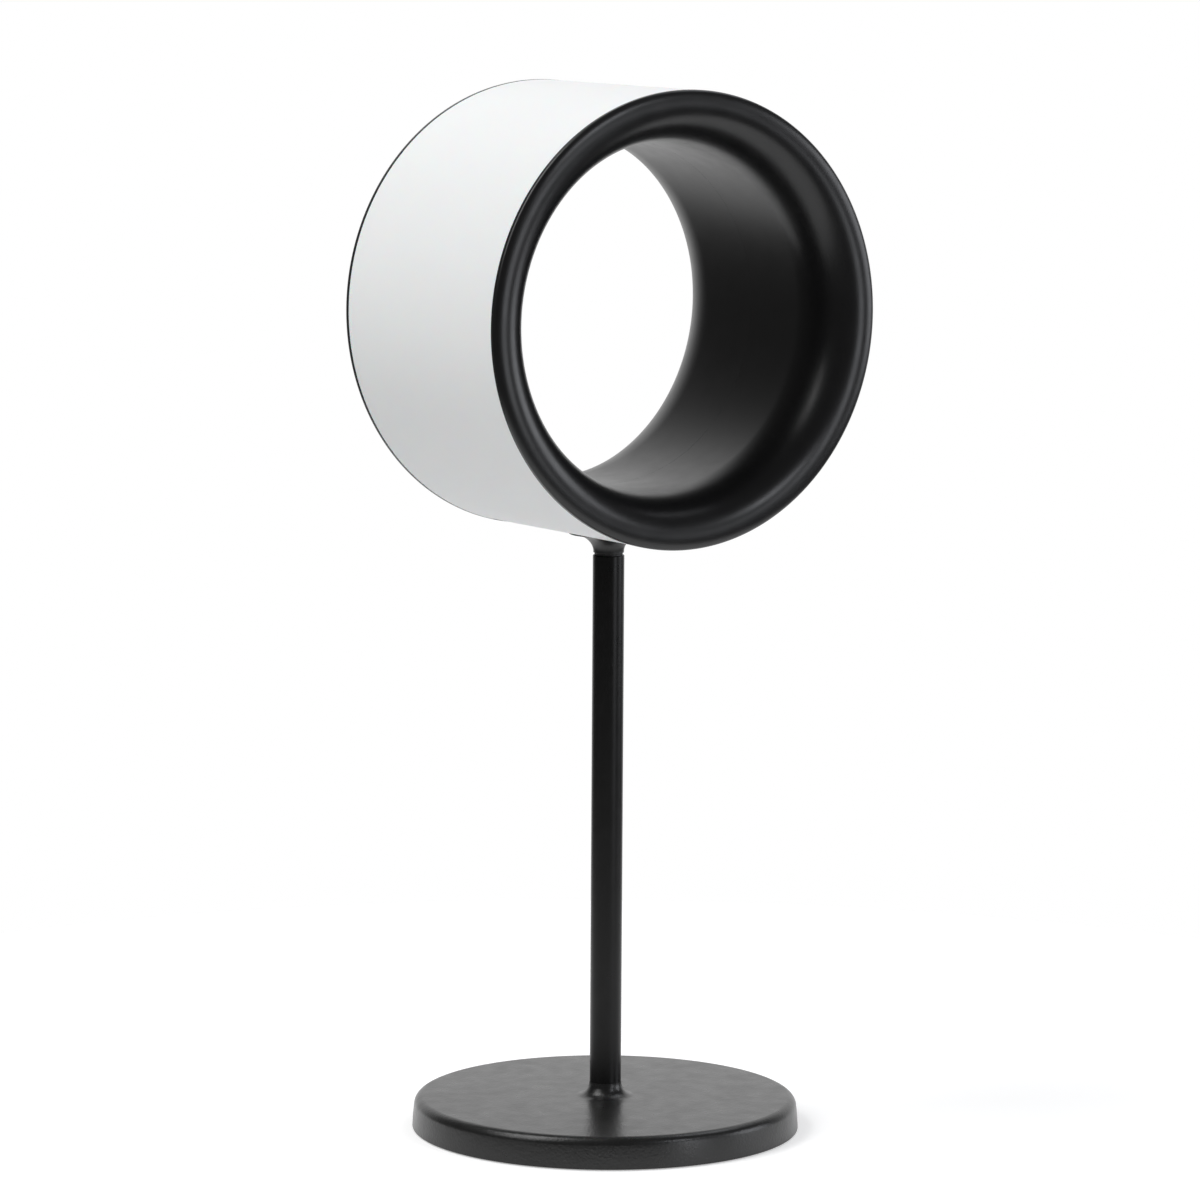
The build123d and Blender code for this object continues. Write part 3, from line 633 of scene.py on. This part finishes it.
@dataclass
class DrumHead:
    """The hollow drum: two flared rims that meet at mid-throat, the sleeve and the spine strip."""

    height: float = 441.7
    radius: float = 120.0
    half_length: float = 71.5
    crown_rise: float = 3.0
    rim_roll: float = 6.8
    throat_radius: float = 92.0
    flare_depth: float = 33.0
    shell_wall: float = 2.0
    lip: float = 1.7
    seam_gap: float = 0.03
    seam_round: float = 0.06
    spigot_length: float = 8.0
    spigot_wall: float = 3.0
    spigot_edge: float = 0.2
    outer_edge: float = 0.12
    throat_hold: float = 1.5
    seat_radius: float = 117.0
    sleeve_outside: float = 119.9
    sleeve_inside: float = 117.2
    sleeve_half_length: float = 69.7
    slot_half_angle: float = 15.57
    spine_half_angle: float = 15.5
    spine_outside: float = 119.6
    sides: int = 320

    def rim_section(self) -> np.ndarray:
        """Draws the section of a rim as rows of radius and place along the drum.

        The inside is a quarter ellipse from the throat to the crown: radius = crown - rise cos t and
        place = start + depth sin t. The front rolls from the crown to the outer edge on another
        quarter ellipse: radius = crown + rim_roll cos t and place = half_length + crown_rise sin t.

        Returns:
            A closed loop.
        """
        crown_place = self.half_length + self.crown_rise
        crown_radius = self.radius - self.rim_roll
        rise = crown_radius - self.throat_radius
        start = crown_place - self.flare_depth
        flare = arc((crown_radius, start), (rise, self.flare_depth), 180.0, 90.0, 48)
        inside = (rise - self.shell_wall, self.flare_depth - self.shell_wall)
        inner = arc((crown_radius, start), inside, 90.0, 180.0, 14)
        front = arc((crown_radius, self.half_length), (self.rim_roll, self.crown_rise), 90.0, 0.0, 22)[1:]
        lip_place = self.half_length - self.lip
        spigot_place = lip_place - self.spigot_length
        spigot_inside = self.seat_radius - self.spigot_wall
        seam = self.seam_gap / 2
        outside = np.array(
            [
                (self.radius, lip_place, self.outer_edge),
                (self.seat_radius, lip_place, 0.0),
                (self.seat_radius, spigot_place, self.spigot_edge),
                (spigot_inside, spigot_place, self.spigot_edge),
                (spigot_inside, crown_place - self.shell_wall, 0.0),
            ]
        )
        throat = np.array(
            [
                (self.throat_radius + self.shell_wall, seam, 0.0),
                (self.throat_radius, seam, self.seam_round),
                (self.throat_radius, start - self.throat_hold, 0.0),
            ]
        )
        return rounded(np.concatenate([throat, plain(flare), plain(front), outside, plain(inner)]))

    def rim(self, end: End) -> bpy.types.Object:
        """Turns one rim about the drum's axis.

        Args:
            end: Which end of the drum.

        Returns:
            The piece.
        """
        section = self.rim_section() * np.array([1.0, end.value])
        shape = turned(section, self.sides, Spin.LENGTHWISE, (0.0, 0.0, self.height))
        side = end.name.lower()
        piece = Maker.mesh(f"{side}_rim", shape)
        return Maker.fit(piece, SATIN_BLACK, Body.HEAD, "satin_black", (f"{side}_trumpet",))

    def band_section(self, inside: float, outside: float, edge: float) -> np.ndarray:
        """Draws the section of the sleeve or the spine as rows of place along the drum and radius.

        Args:
            inside: The inner radius.
            outside: The outer radius.
            edge: The rounding of its long edges.

        Returns:
            A closed loop.
        """
        reach = self.sleeve_half_length
        corners = [
            (-reach, inside, 0.0),
            (reach, inside, 0.0),
            (reach, outside, edge),
            (-reach, outside, edge),
        ]
        return rounded(np.array(corners))

    def sleeve(self) -> bpy.types.Object:
        """Bends the opal sleeve round the drum, open along the spine."""
        section = self.band_section(self.sleeve_inside, self.sleeve_outside, 0.25)
        shape = bent(section, self.slot_half_angle, 360.0 - self.slot_half_angle, self.sides, self.height)
        piece = Maker.mesh("opal_sleeve", shape, ends=True)
        return Maker.fit(piece, OPAL, Body.HEAD, "opal_white", ("diffuser",))

    def build(self) -> None:
        """Builds the drum's pieces."""
        for end in End:
            self.rim(end)
        self.sleeve()
        Spine(self).build()


@dataclass
class Spine:
    """The strip along the drum's underside, with its four screws and the hole for the button."""

    drum: DrumHead
    screw_x: float = 12.0
    screw_y: float = 65.8
    head_radius: float = 2.8
    head_height: float = 1.3
    shank_radius: float = 1.5
    screw_length: float = 5.09
    head_bottom: float = 323.039
    socket_flats: float = 2.0
    socket_depth: float = 0.75
    socket_point: float = 0.35
    bevel: float = 0.12
    bevel_height: float = 0.1
    seat_gap: float = 0.05
    cut_below: float = 2.0
    cut_above: float = 8.0
    button_y: float = 24.0
    button_hole: float = 5.3
    bore: float = 4.02
    bottom: float = 322.1

    def spots(self) -> np.ndarray:
        """Gives the four screws' places across and along the spine."""
        signs = np.array([(1, 1), (1, -1), (-1, 1), (-1, -1)], dtype=float)
        return signs * np.array([self.screw_x, self.screw_y])

    def round_hole(self, name: str, radius: float, y: float) -> bpy.types.Object:
        """Makes the cutter of an upright hole of that radius at a place along the spine.

        Returns:
            A closed cylinder that runs right through.
        """
        low, high = self.bottom - self.cut_below, self.bottom + self.cut_above
        section = np.array([(0.0, low), (radius, low), (radius, high), (0.0, high)])
        return Maker.mesh(name, turned(section, 64, centre=(0.0, y, 0.0), closed=False))

    def countersink(self, spot: np.ndarray) -> bpy.types.Object:
        """Makes the cutter of a countersunk hole at a screw's place."""
        low, gap = self.head_bottom, self.seat_gap
        section = np.array(
            [
                (0.0, low - self.cut_below),
                (self.head_radius + gap, low - self.cut_below),
                (self.head_radius + gap, low),
                (self.shank_radius + gap, low + self.head_height),
                (self.shank_radius + gap, low + self.cut_above),
                (0.0, low + self.cut_above),
            ]
        )
        return Maker.mesh("countersink", turned(section, 48, centre=(*spot, 0.0), closed=False))

    def strip(self) -> bpy.types.Object:
        """Bends the strip and cuts its holes."""
        drum = self.drum
        section = drum.band_section(drum.sleeve_inside, drum.spine_outside, 0.35)
        reach = drum.spine_half_angle
        piece = Maker.mesh("spine_strip", bent(section, -reach, reach, 45, drum.height), ends=True)
        cutters = [self.countersink(spot) for spot in self.spots()]
        cutters.append(self.round_hole("button_hole", self.button_hole, self.button_y))
        cutters.append(self.round_hole("spindle_hole", self.bore, 0.0))
        Maker.carve(piece, cutters)
        return Maker.fit(piece, SATIN_BLACK, Body.HEAD, "black_aluminium", ("spine",))

    def screws(self) -> bpy.types.Object:
        """Turns the four countersunk screws with their hexagon sockets.

        The socket's radius at turn u is (flats / 2) / cos(v), with v the angle to the nearest flat.
        """
        sides = 48
        u = np.arange(sides) * (2 * math.pi / sides)
        nearest = np.mod(u + math.pi / 6, math.pi / 3) - math.pi / 6
        hexagon = self.socket_flats / 2 / np.cos(nearest)
        low = self.head_bottom
        rows = [
            (0.0 * hexagon, low + self.socket_depth + self.socket_point),
            (hexagon, low + self.socket_depth),
            (hexagon, low + self.bevel_height),
            (hexagon + self.bevel, low),
            (np.full(sides, self.head_radius - self.bevel), low),
            (np.full(sides, self.head_radius), low + self.bevel_height),
            (np.full(sides, self.shank_radius), low + self.head_height),
            (np.full(sides, self.shank_radius), low + self.screw_length),
            (0.0 * hexagon, low + self.screw_length),
        ]
        radius = np.stack([row[0] for row in rows])
        place = np.array([row[1] for row in rows])[:, None] * np.ones(sides)
        one = np.stack([radius * np.cos(u), radius * np.sin(u), place], axis=-1).reshape(-1, 3)
        faces = grid_faces(len(rows), sides, False, True)
        spots = np.column_stack([self.spots(), np.zeros(4)])
        points = (spots[:, None] + one[None]).reshape(-1, 3)
        every = (np.arange(4)[:, None, None] * len(one) + faces[None]).reshape(-1, 4)
        piece = Maker.mesh("spine_screw_heads", (points, every))
        return Maker.fit(piece, ZINC, Body.HEAD, "zinc_steel", ("spine_screws",))

    def build(self) -> None:
        """Builds the strip and its screws."""
        self.strip()
        self.screws()


# ---------------------------------------------------------------- neck and stem
@dataclass
class Neck:
    """The flared neck between the swivel and the drum's underside."""

    drum: DrumHead
    bottom: float = 312.85
    radius: float = 8.2
    bore: float = 4.02
    straight: float = 0.6
    reach: float = 13.0
    rise: float = 9.6
    edge: float = 0.3
    rim_edge: float = 0.1
    sides: int = 192

    def underside(self, across: np.ndarray) -> np.ndarray:
        """Gives the drum's height at places across: height - sqrt(spine radius^2 - x^2)."""
        return self.drum.height - np.sqrt(self.drum.spine_outside**2 - across**2)

    def flare(self, turn: np.ndarray, share: np.ndarray) -> tuple[np.ndarray, np.ndarray]:
        """Gives points of the flare, which ends a little below the drum's underside.

        The flare is a quarter ellipse: radius = rim - reach cos t and height = start + rise sin t,
        with t from 0 to its last value at that turn, which is found by halving: t goes up where the
        point, with the edge's height on it, is still below the underside, and down where it isn't.

        Args:
            turn: The angles about the stem.
            share: How far along the flare, from 0 to 1.

        Returns:
            Radii and heights, with a row for each share and a column for each turn.
        """
        rim, start = self.radius + self.reach, self.bottom + self.straight
        last = np.zeros_like(turn)
        for step in math.pi / 4 * 0.5 ** np.arange(24):
            tried = last + step
            across = (rim - self.reach * np.cos(tried)) * np.cos(turn)
            below = start + self.rise * np.sin(tried) + self.rim_edge < self.underside(across)
            last = np.where(below, tried, last)
        t = share[:, None] * last
        return rim - self.reach * np.cos(t), start + self.rise * np.sin(t)

    def build(self) -> bpy.types.Object:
        """Turns the neck and ends it on the drum's underside.

        Returns:
            The piece.
        """
        u = np.arange(self.sides) * (2 * math.pi / self.sides)
        corners = [(self.bore, self.bottom, 0.1), (self.radius, self.bottom, self.edge)]
        corners.append((self.radius, self.bottom + self.straight, 0.0))
        foot = rounded(np.array(corners), closed=False)
        radius, height = self.flare(u, np.linspace(0.0, 1.0, 40)[1:])
        ones = np.ones(self.sides)
        radius = np.concatenate([foot[:, :1] * ones, radius, radius[-1:], self.bore * ones[None]])
        across = radius * np.cos(u)
        height = np.concatenate([foot[:, 1:] * ones, height, self.underside(across[-2:])])
        points = np.stack([across, radius * np.sin(u), height], axis=-1).reshape(-1, 3)
        piece = Maker.mesh("neck_flare", (points, grid_faces(len(radius), self.sides, True, True)))
        return Maker.fit(piece, NECK_COAT, Body.HEAD, "black_tube_coat", ("neck",))


@dataclass
class Stem:
    """The straight tube, and the washer that shows in the groove above it."""

    radius: float = 8.45
    bore: float = 6.0
    foot: float = 19.4
    top: float = 311.55
    top_edge: float = 0.5
    flange_top: float = 312.25
    spindle_hole: float = 4.05
    washer_radius: float = 7.5
    washer_top: float = 312.75
    sides: int = 128

    def tube(self) -> bpy.types.Object:
        """Turns the tube with its softened top edge."""
        corners = [
            (self.bore, self.foot, 0.0),
            (self.radius, self.foot, 0.0),
            (self.radius, self.top, self.top_edge),
            (self.bore, self.top, 0.15),
        ]
        piece = Maker.mesh("stem", turned(rounded(np.array(corners)), self.sides))
        return Maker.fit(piece, TUBE_COAT, Body.BASE, "black_tube_coat", ("stem_tube",))

    def washer(self) -> bpy.types.Object:
        """Turns the friction washer."""
        corners = [
            (self.spindle_hole, self.flange_top, 0.0),
            (self.washer_radius, self.flange_top, 0.1),
            (self.washer_radius, self.washer_top, 0.1),
            (self.spindle_hole, self.washer_top, 0.0),
        ]
        piece = Maker.mesh("swivel_washer", turned(rounded(np.array(corners), steps=4), 96))
        return Maker.fit(piece, BEARING, Body.BASE, "bearing_plastic", ("friction_washer",))

    def build(self) -> None:
        """Builds the tube and the washer."""
        self.tube()
        self.washer()


# ---------------------------------------------------------------- base
@dataclass
class Base:
    """The round base shell with its concave foot and the power inlet in its rear side."""

    radius: float = 104.2
    top: float = 17.4
    low_lean: float = 2.0
    high_lean: float = 7.0
    rim_round: float = 5.0
    ground_gap: float = 0.6
    web_wall: float = 3.0
    rim_wall: float = 4.2
    foot_flare: float = 7.5
    foot_radius: float = 8.6
    stem_hole: float = 8.5
    stem_seat: float = 19.4
    thread_hole: float = 5.2
    web_round: float = 0.5
    inner_edge: float = 0.3
    lower_edge: float = 0.4
    top_hold: float = 0.6
    inlet_height: float = 8.4
    inlet_face: float = 101.7
    inlet_recess: float = 5.5
    inlet_hole: float = 3.95
    cut_inside: float = 6.0
    cut_outside: float = 4.0
    sides: int = 320

    def side(self) -> np.ndarray:
        """Draws the bulged side and the rounding above it, from the lower edge to the top face.

        The side is an arc of radius B whose lean goes from the low to the high one, and the rounding
        is an arc of radius rim_round that goes on from there to level. They reach the top where
        B (sin high - sin low) + rim_round (1 - sin high) is the side's height.

        Returns:
            Rows of radius and height.
        """
        low, high = math.radians(self.low_lean), math.radians(self.high_lean)
        height = self.top - self.ground_gap
        bulge = (height - self.rim_round * (1 - math.sin(high))) / (math.sin(high) - math.sin(low))
        centre = (self.radius - bulge * math.cos(low), self.ground_gap - bulge * math.sin(low))
        side = arc(centre, (bulge, bulge), self.low_lean, self.high_lean, 9)
        inward = bulge - self.rim_round
        middle = (centre[0] + inward * math.cos(high), centre[1] + inward * math.sin(high))
        rounding = arc(middle, (self.rim_round, self.rim_round), self.high_lean, 90.0, 19)
        return np.concatenate([side[1:], rounding[1:]])

    def section(self) -> np.ndarray:
        """Draws the shell's section as rows of radius and height.

        The foot is a quarter circle of radius foot_flare about (foot_radius + foot_flare,
        top + foot_flare).

        Returns:
            A closed loop.
        """
        flare_start = self.foot_radius + self.foot_flare
        foot_top = self.top + self.foot_flare
        flare = arc((flare_start, foot_top), (self.foot_flare, self.foot_flare), 270.0, 180.0, 30)
        web = self.top - self.web_wall
        inside = self.radius - self.rim_wall
        corners = np.concatenate(
            [
                np.array([(inside, web, self.web_round), (inside, self.ground_gap, self.inner_edge)]),
                np.array([(self.radius, self.ground_gap, self.lower_edge)]),
                plain(self.side()),
                np.array([(flare_start + self.top_hold, self.top, 0.0)]),
                plain(flare[:-1]),
                np.array([(self.foot_radius, foot_top, 0.0), (self.stem_hole, foot_top, 0.0)]),
                np.array([(self.stem_hole, self.stem_seat, 0.0), (self.thread_hole, self.stem_seat, 0.0)]),
                np.array([(self.thread_hole, web, 0.0)]),
            ]
        )
        return rounded(corners, steps=14)

    def shell(self) -> bpy.types.Object:
        """Turns the shell and cuts the inlet's stepped hole."""
        piece = Maker.mesh("base_body", turned(self.section(), self.sides))
        outer, inner = self.inlet_recess, self.inlet_hole
        section = np.array(
            [
                (0.0, self.inlet_face - self.cut_inside),
                (inner, self.inlet_face - self.cut_inside),
                (inner, self.inlet_face),
                (outer, self.inlet_face),
                (outer, self.inlet_face + self.cut_outside),
                (0.0, self.inlet_face + self.cut_outside),
            ]
        )
        hole = turned(section, 72, Spin.LENGTHWISE, (0.0, 0.0, self.inlet_height), closed=False)
        Maker.carve(piece, [Maker.mesh("inlet_cutter", hole)])
        return Maker.fit(piece, POWDER_COAT, Body.BASE, "black_powder_coat", ("base_shell",))

    def build(self) -> None:
        """Builds the shell and the inlet."""
        self.shell()
        Inlet(self).build()


@dataclass
class Inlet:
    """The power inlet's flange, socket and centre contact."""

    base: Base
    flange_radius: float = 5.3
    flange: float = 1.3
    barrel_radius: float = 3.9
    length: float = 14.0
    socket_radius: float = 2.8
    socket_depth: float = 9.5
    pin_radius: float = 1.0
    pin_setback: float = 1.0

    def front(self) -> float:
        """Gives the place of the flange's outer face."""
        return self.base.inlet_face + self.flange

    def spin(self, name: str, corners: list[Colour]) -> bpy.types.Object:
        """Turns a section of the inlet about its own axis.

        Args:
            name: The piece's name.
            corners: Rows of radius, place and rounding, which start and end on the axis.

        Returns:
            The mesh object.
        """
        section = rounded(np.array(corners), steps=6, closed=False)
        centre = (0.0, 0.0, self.base.inlet_height)
        return Maker.mesh(name, turned(section, 72, Spin.LENGTHWISE, centre, closed=False))

    def build(self) -> None:
        """Builds the inlet's two pieces."""
        front = self.front()
        rear = self.base.inlet_face - self.length
        socket = front - self.socket_depth
        body = [
            (0.0, rear, 0.0),
            (self.barrel_radius, rear, 0.2),
            (self.barrel_radius, self.base.inlet_face, 0.0),
            (self.flange_radius, self.base.inlet_face, 0.0),
            (self.flange_radius, front, 0.35),
            (self.socket_radius, front, 0.3),
            (self.socket_radius, socket, 0.0),
            (0.0, socket, 0.0),
        ]
        piece = self.spin("inlet_body", body)
        Maker.fit(piece, MATT_BLACK, Body.BASE, "black_moulding", ("power_inlet",))
        tip = front - self.pin_setback
        radius = self.pin_radius
        pin = [(0.0, socket, 0.0), (radius, socket, 0.0), (radius, tip, radius / 2), (0.0, tip, 0.0)]
        piece = self.spin("inlet_pin", pin)
        Maker.fit(piece, BRASS, Body.BASE, "contact_brass", ("inlet_contact",))


@dataclass
class Button:
    """The dimmer button under the drum, behind the neck."""

    place: float = 24.0
    bottom: float = 321.1
    flange_bottom: float = 324.98
    radius: float = 5.0
    edge: float = 0.6
    dish: float = 0.35
    flange_radius: float = 6.5
    flange: float = 1.0
    post_radius: float = 1.5
    post_top: float = 331.1

    def build(self) -> bpy.types.Object:
        """Turns the cap with a shallow dish in its face: depth = dish (1 - (r / r_dish)^2).

        Returns:
            The piece.
        """
        dish_radius = self.radius - 2 * self.edge
        r = np.linspace(0.0, dish_radius, 12)
        face = np.column_stack([r, self.bottom + self.dish * (1 - (r / dish_radius) ** 2)])
        rest = [
            (self.radius, self.bottom, self.edge),
            (self.radius, self.flange_bottom, 0.0),
            (self.flange_radius, self.flange_bottom, 0.0),
            (self.flange_radius, self.flange_bottom + self.flange, 0.0),
            (self.post_radius, self.flange_bottom + self.flange, 0.0),
            (self.post_radius, self.post_top, 0.0),
            (0.0, self.post_top, 0.0),
        ]
        section = rounded(np.concatenate([plain(face), np.array(rest)]), closed=False)
        shape = turned(section, 72, centre=(0.0, self.place, 0.0), closed=False)
        piece = Maker.mesh("dimmer_button", shape)
        return Maker.fit(piece, MATT_BLACK, Body.BUTTON, "black_moulding", ("button_cap",))


def dress_nodes() -> None:
    """Gives every node that still shows the finish of its slot."""
    slots = {entry["node"]: entry["material_slot"] for entry in frame["record"]["subparts"]}
    for name, node in frame["nodes"].items():
        SLOT_FINISHES[slots[name]].dress(node)
    LOG.info("nodes: %d dressed by slot", len(slots))


# ---------------------------------------------------------------- studio
@dataclass(frozen=True)
class Softbox:
    """A square lamp that faces the object."""

    name: str
    place: Colour
    size: float
    power: float
    colour: Colour = (1.0, 1.0, 1.0)
    aim: Colour = (0.0, 0.0, 0.3)

    def build(self) -> None:
        """Adds the lamp."""
        data = bpy.data.lights.new(self.name, "AREA")
        data.shape = "SQUARE"
        data.size = self.size
        data.energy = self.power
        data.color = self.colour
        lamp = bpy.data.objects.new(self.name, data)
        bpy.context.scene.collection.objects.link(lamp)
        lamp.location = self.place
        away = Vector(self.aim) - Vector(self.place)
        lamp.rotation_euler = away.to_track_quat("-Z", "Y").to_euler()


@dataclass
class Studio:
    """The camera, the pale floor, the white surroundings and the lamps."""

    eye: Colour = (-1.6475, -2.4513, 0.6870)
    heading: float = 0.59024
    pitch: float = -0.134483
    roll: float = 0.006145
    lens: float = 167.393
    sensor: float = 36.0
    floor_reach: float = 0.65
    floor_colour: float = 0.8
    floor_glow: float = 0.4
    sky_light: float = 0.42
    room_light: float = 0.07
    backdrop: Colour = (0.552, 0.834, 0.0)
    backdrop_edges: Pair = (0.5, 0.85)
    boxes: tuple[Softbox, ...] = (
        Softbox("box_above", (-1.18, 0.52, 2.69), 1.2, 24.0),
        Softbox("box_left", (-1.9, 0.1, 1.9), 1.2, 16.0),
        Softbox("box_front", (0.56, -1.92, 1.36), 0.5, 5.0, (0.93, 0.95, 1.0)),
        Softbox("box_low", (0.7, -2.2, 0.35), 0.8, 6.0, (0.93, 0.95, 1.0)),
        Softbox("box_right", (2.2, -1.2, 0.6), 1.2, 14.0, (0.93, 0.95, 1.0)),
        Softbox("box_rim", (1.5, 0.2, 2.4), 1.0, 7.0, (0.93, 0.95, 1.0)),
    )

    def camera(self) -> None:
        """Sets the camera from its heading, pitch and roll.

        Forward is (sin h cos p, cos h cos p, sin p); right is (cos h, -sin h, 0) turned by the roll
        towards up, and up is right x forward.
        """
        forward = np.array(
            [
                math.sin(self.heading) * math.cos(self.pitch),
                math.cos(self.heading) * math.cos(self.pitch),
                math.sin(self.pitch),
            ]
        )
        level = np.array([math.cos(self.heading), -math.sin(self.heading), 0.0])
        up = np.cross(level, forward)
        right = level * math.cos(self.roll) + up * math.sin(self.roll)
        above = up * math.cos(self.roll) - level * math.sin(self.roll)
        place = np.eye(4)
        place[:3, :3] = np.column_stack([right, above, -forward])
        place[:3, 3] = self.eye
        data = bpy.data.cameras.new("camera")
        data.sensor_width = self.sensor
        data.lens = self.lens
        data.clip_end = 100.0
        camera = bpy.data.objects.new("camera", data)
        bpy.context.scene.collection.objects.link(camera)
        camera.matrix_world = Matrix(place.tolist())
        bpy.context.scene.camera = camera

    def seen(self, tree: Nodes) -> bpy.types.NodeSocket:
        """Gives 1 for rays that show the surroundings: from the camera, a gloss or a glass."""
        path = tree.add("ShaderNodeLightPath")
        direct = tree.math("MAXIMUM", path.outputs["Is Camera Ray"], path.outputs["Is Glossy Ray"])
        return tree.math("MAXIMUM", direct, path.outputs["Is Transmission Ray"])

    def studio_side(self, tree: Nodes) -> bpy.types.NodeSocket:
        """Gives a glossy ray's light by its direction: white backdrop ahead, a dim room elsewhere."""
        toward = tree.add("ShaderNodeVectorMath")
        toward.operation = "DOT_PRODUCT"
        toward.inputs[1].default_value = self.backdrop
        tree.link(tree.add("ShaderNodeTexCoord").outputs["Generated"], toward.inputs[0])
        blend = tree.add("ShaderNodeMapRange")
        blend.interpolation_type = "SMOOTHSTEP"
        tree.set_ranges(blend, self.backdrop_edges, (self.room_light, 1.0))
        tree.link(toward.outputs["Value"], blend.inputs["Value"])
        return blend.outputs["Result"]

    def surroundings(self) -> None:
        """Makes the world: white where it is seen, and an even soft light."""
        world = bpy.data.worlds.new("surroundings")
        world.use_nodes = True
        bpy.context.scene.world = world
        tree = Nodes(world.node_tree)
        path = tree.add("ShaderNodeLightPath")
        light = tree.add("ShaderNodeBackground")
        light.inputs["Color"].default_value = WHITE
        light.inputs["Strength"].default_value = self.sky_light
        white = tree.add("ShaderNodeBackground")
        white.inputs["Color"].default_value = WHITE
        direct = tree.math("MAXIMUM", path.outputs["Is Camera Ray"], path.outputs["Is Transmission Ray"])
        tree.link(tree.math("MAXIMUM", direct, self.studio_side(tree)), white.inputs["Strength"])
        choice = tree.add("ShaderNodeMixShader")
        tree.link(self.seen(tree), choice.inputs[0])
        tree.link(light.outputs[0], choice.inputs[1])
        tree.link(white.outputs[0], choice.inputs[2])
        output = tree.add("ShaderNodeOutputWorld")
        tree.link(choice.outputs[0], output.inputs["Surface"])

    def floor(self) -> None:
        """Lays the pale round floor, which keeps the shadow and is see-through from below."""
        data = bpy.data.meshes.new("floor")
        turn = np.arange(96) * (2 * math.pi / 96)
        corners = self.floor_reach * np.stack([np.cos(turn), np.sin(turn), 0 * turn], axis=-1)
        data.from_pydata(corners.tolist(), [], [tuple(range(96))])
        floor = bpy.data.objects.new("floor", data)
        bpy.context.scene.collection.objects.link(floor)
        paint = bpy.data.materials.new("pale_floor")
        paint.use_nodes = True
        tree = Nodes(paint.node_tree)
        matt = tree.add("ShaderNodeBsdfDiffuse")
        matt.inputs["Color"].default_value = (self.floor_colour,) * 3 + (1.0,)
        glow = tree.add("ShaderNodeEmission")
        glow.inputs["Strength"].default_value = self.floor_glow
        both = tree.add("ShaderNodeAddShader")
        tree.link(matt.outputs[0], both.inputs[0])
        tree.link(glow.outputs[0], both.inputs[1])
        shown = tree.add("ShaderNodeMixShader")
        tree.link(self.seen(tree), shown.inputs[0])
        tree.link(matt.outputs[0], shown.inputs[1])
        tree.link(both.outputs[0], shown.inputs[2])
        clear = tree.add("ShaderNodeBsdfTransparent")
        facing = tree.add("ShaderNodeNewGeometry")
        under = tree.add("ShaderNodeMixShader")
        tree.link(facing.outputs["Backfacing"], under.inputs[0])
        tree.link(shown.outputs[0], under.inputs[1])
        tree.link(clear.outputs[0], under.inputs[2])
        output = tree.add("ShaderNodeOutputMaterial")
        tree.link(under.outputs[0], output.inputs["Surface"])
        data.materials.append(paint)

    def build(self) -> None:
        """Sets up the studio."""
        self.camera()
        self.surroundings()
        self.floor()
        for box in self.boxes:
            box.build()
        bpy.context.scene.view_settings.view_transform = "Standard"
        LOG.info("studio: %d softboxes", len(self.boxes))


def main() -> None:
    """Builds the lamp's pieces and the studio."""
    logging.basicConfig(level=logging.INFO, format="%(name)s %(message)s")
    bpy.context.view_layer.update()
    Studio().build()
    dress_nodes()
    drum = DrumHead()
    drum.build()
    Neck(drum).build()
    Stem().build()
    Base().build()
    Button().build()


if __name__ == "__main__":
    main()
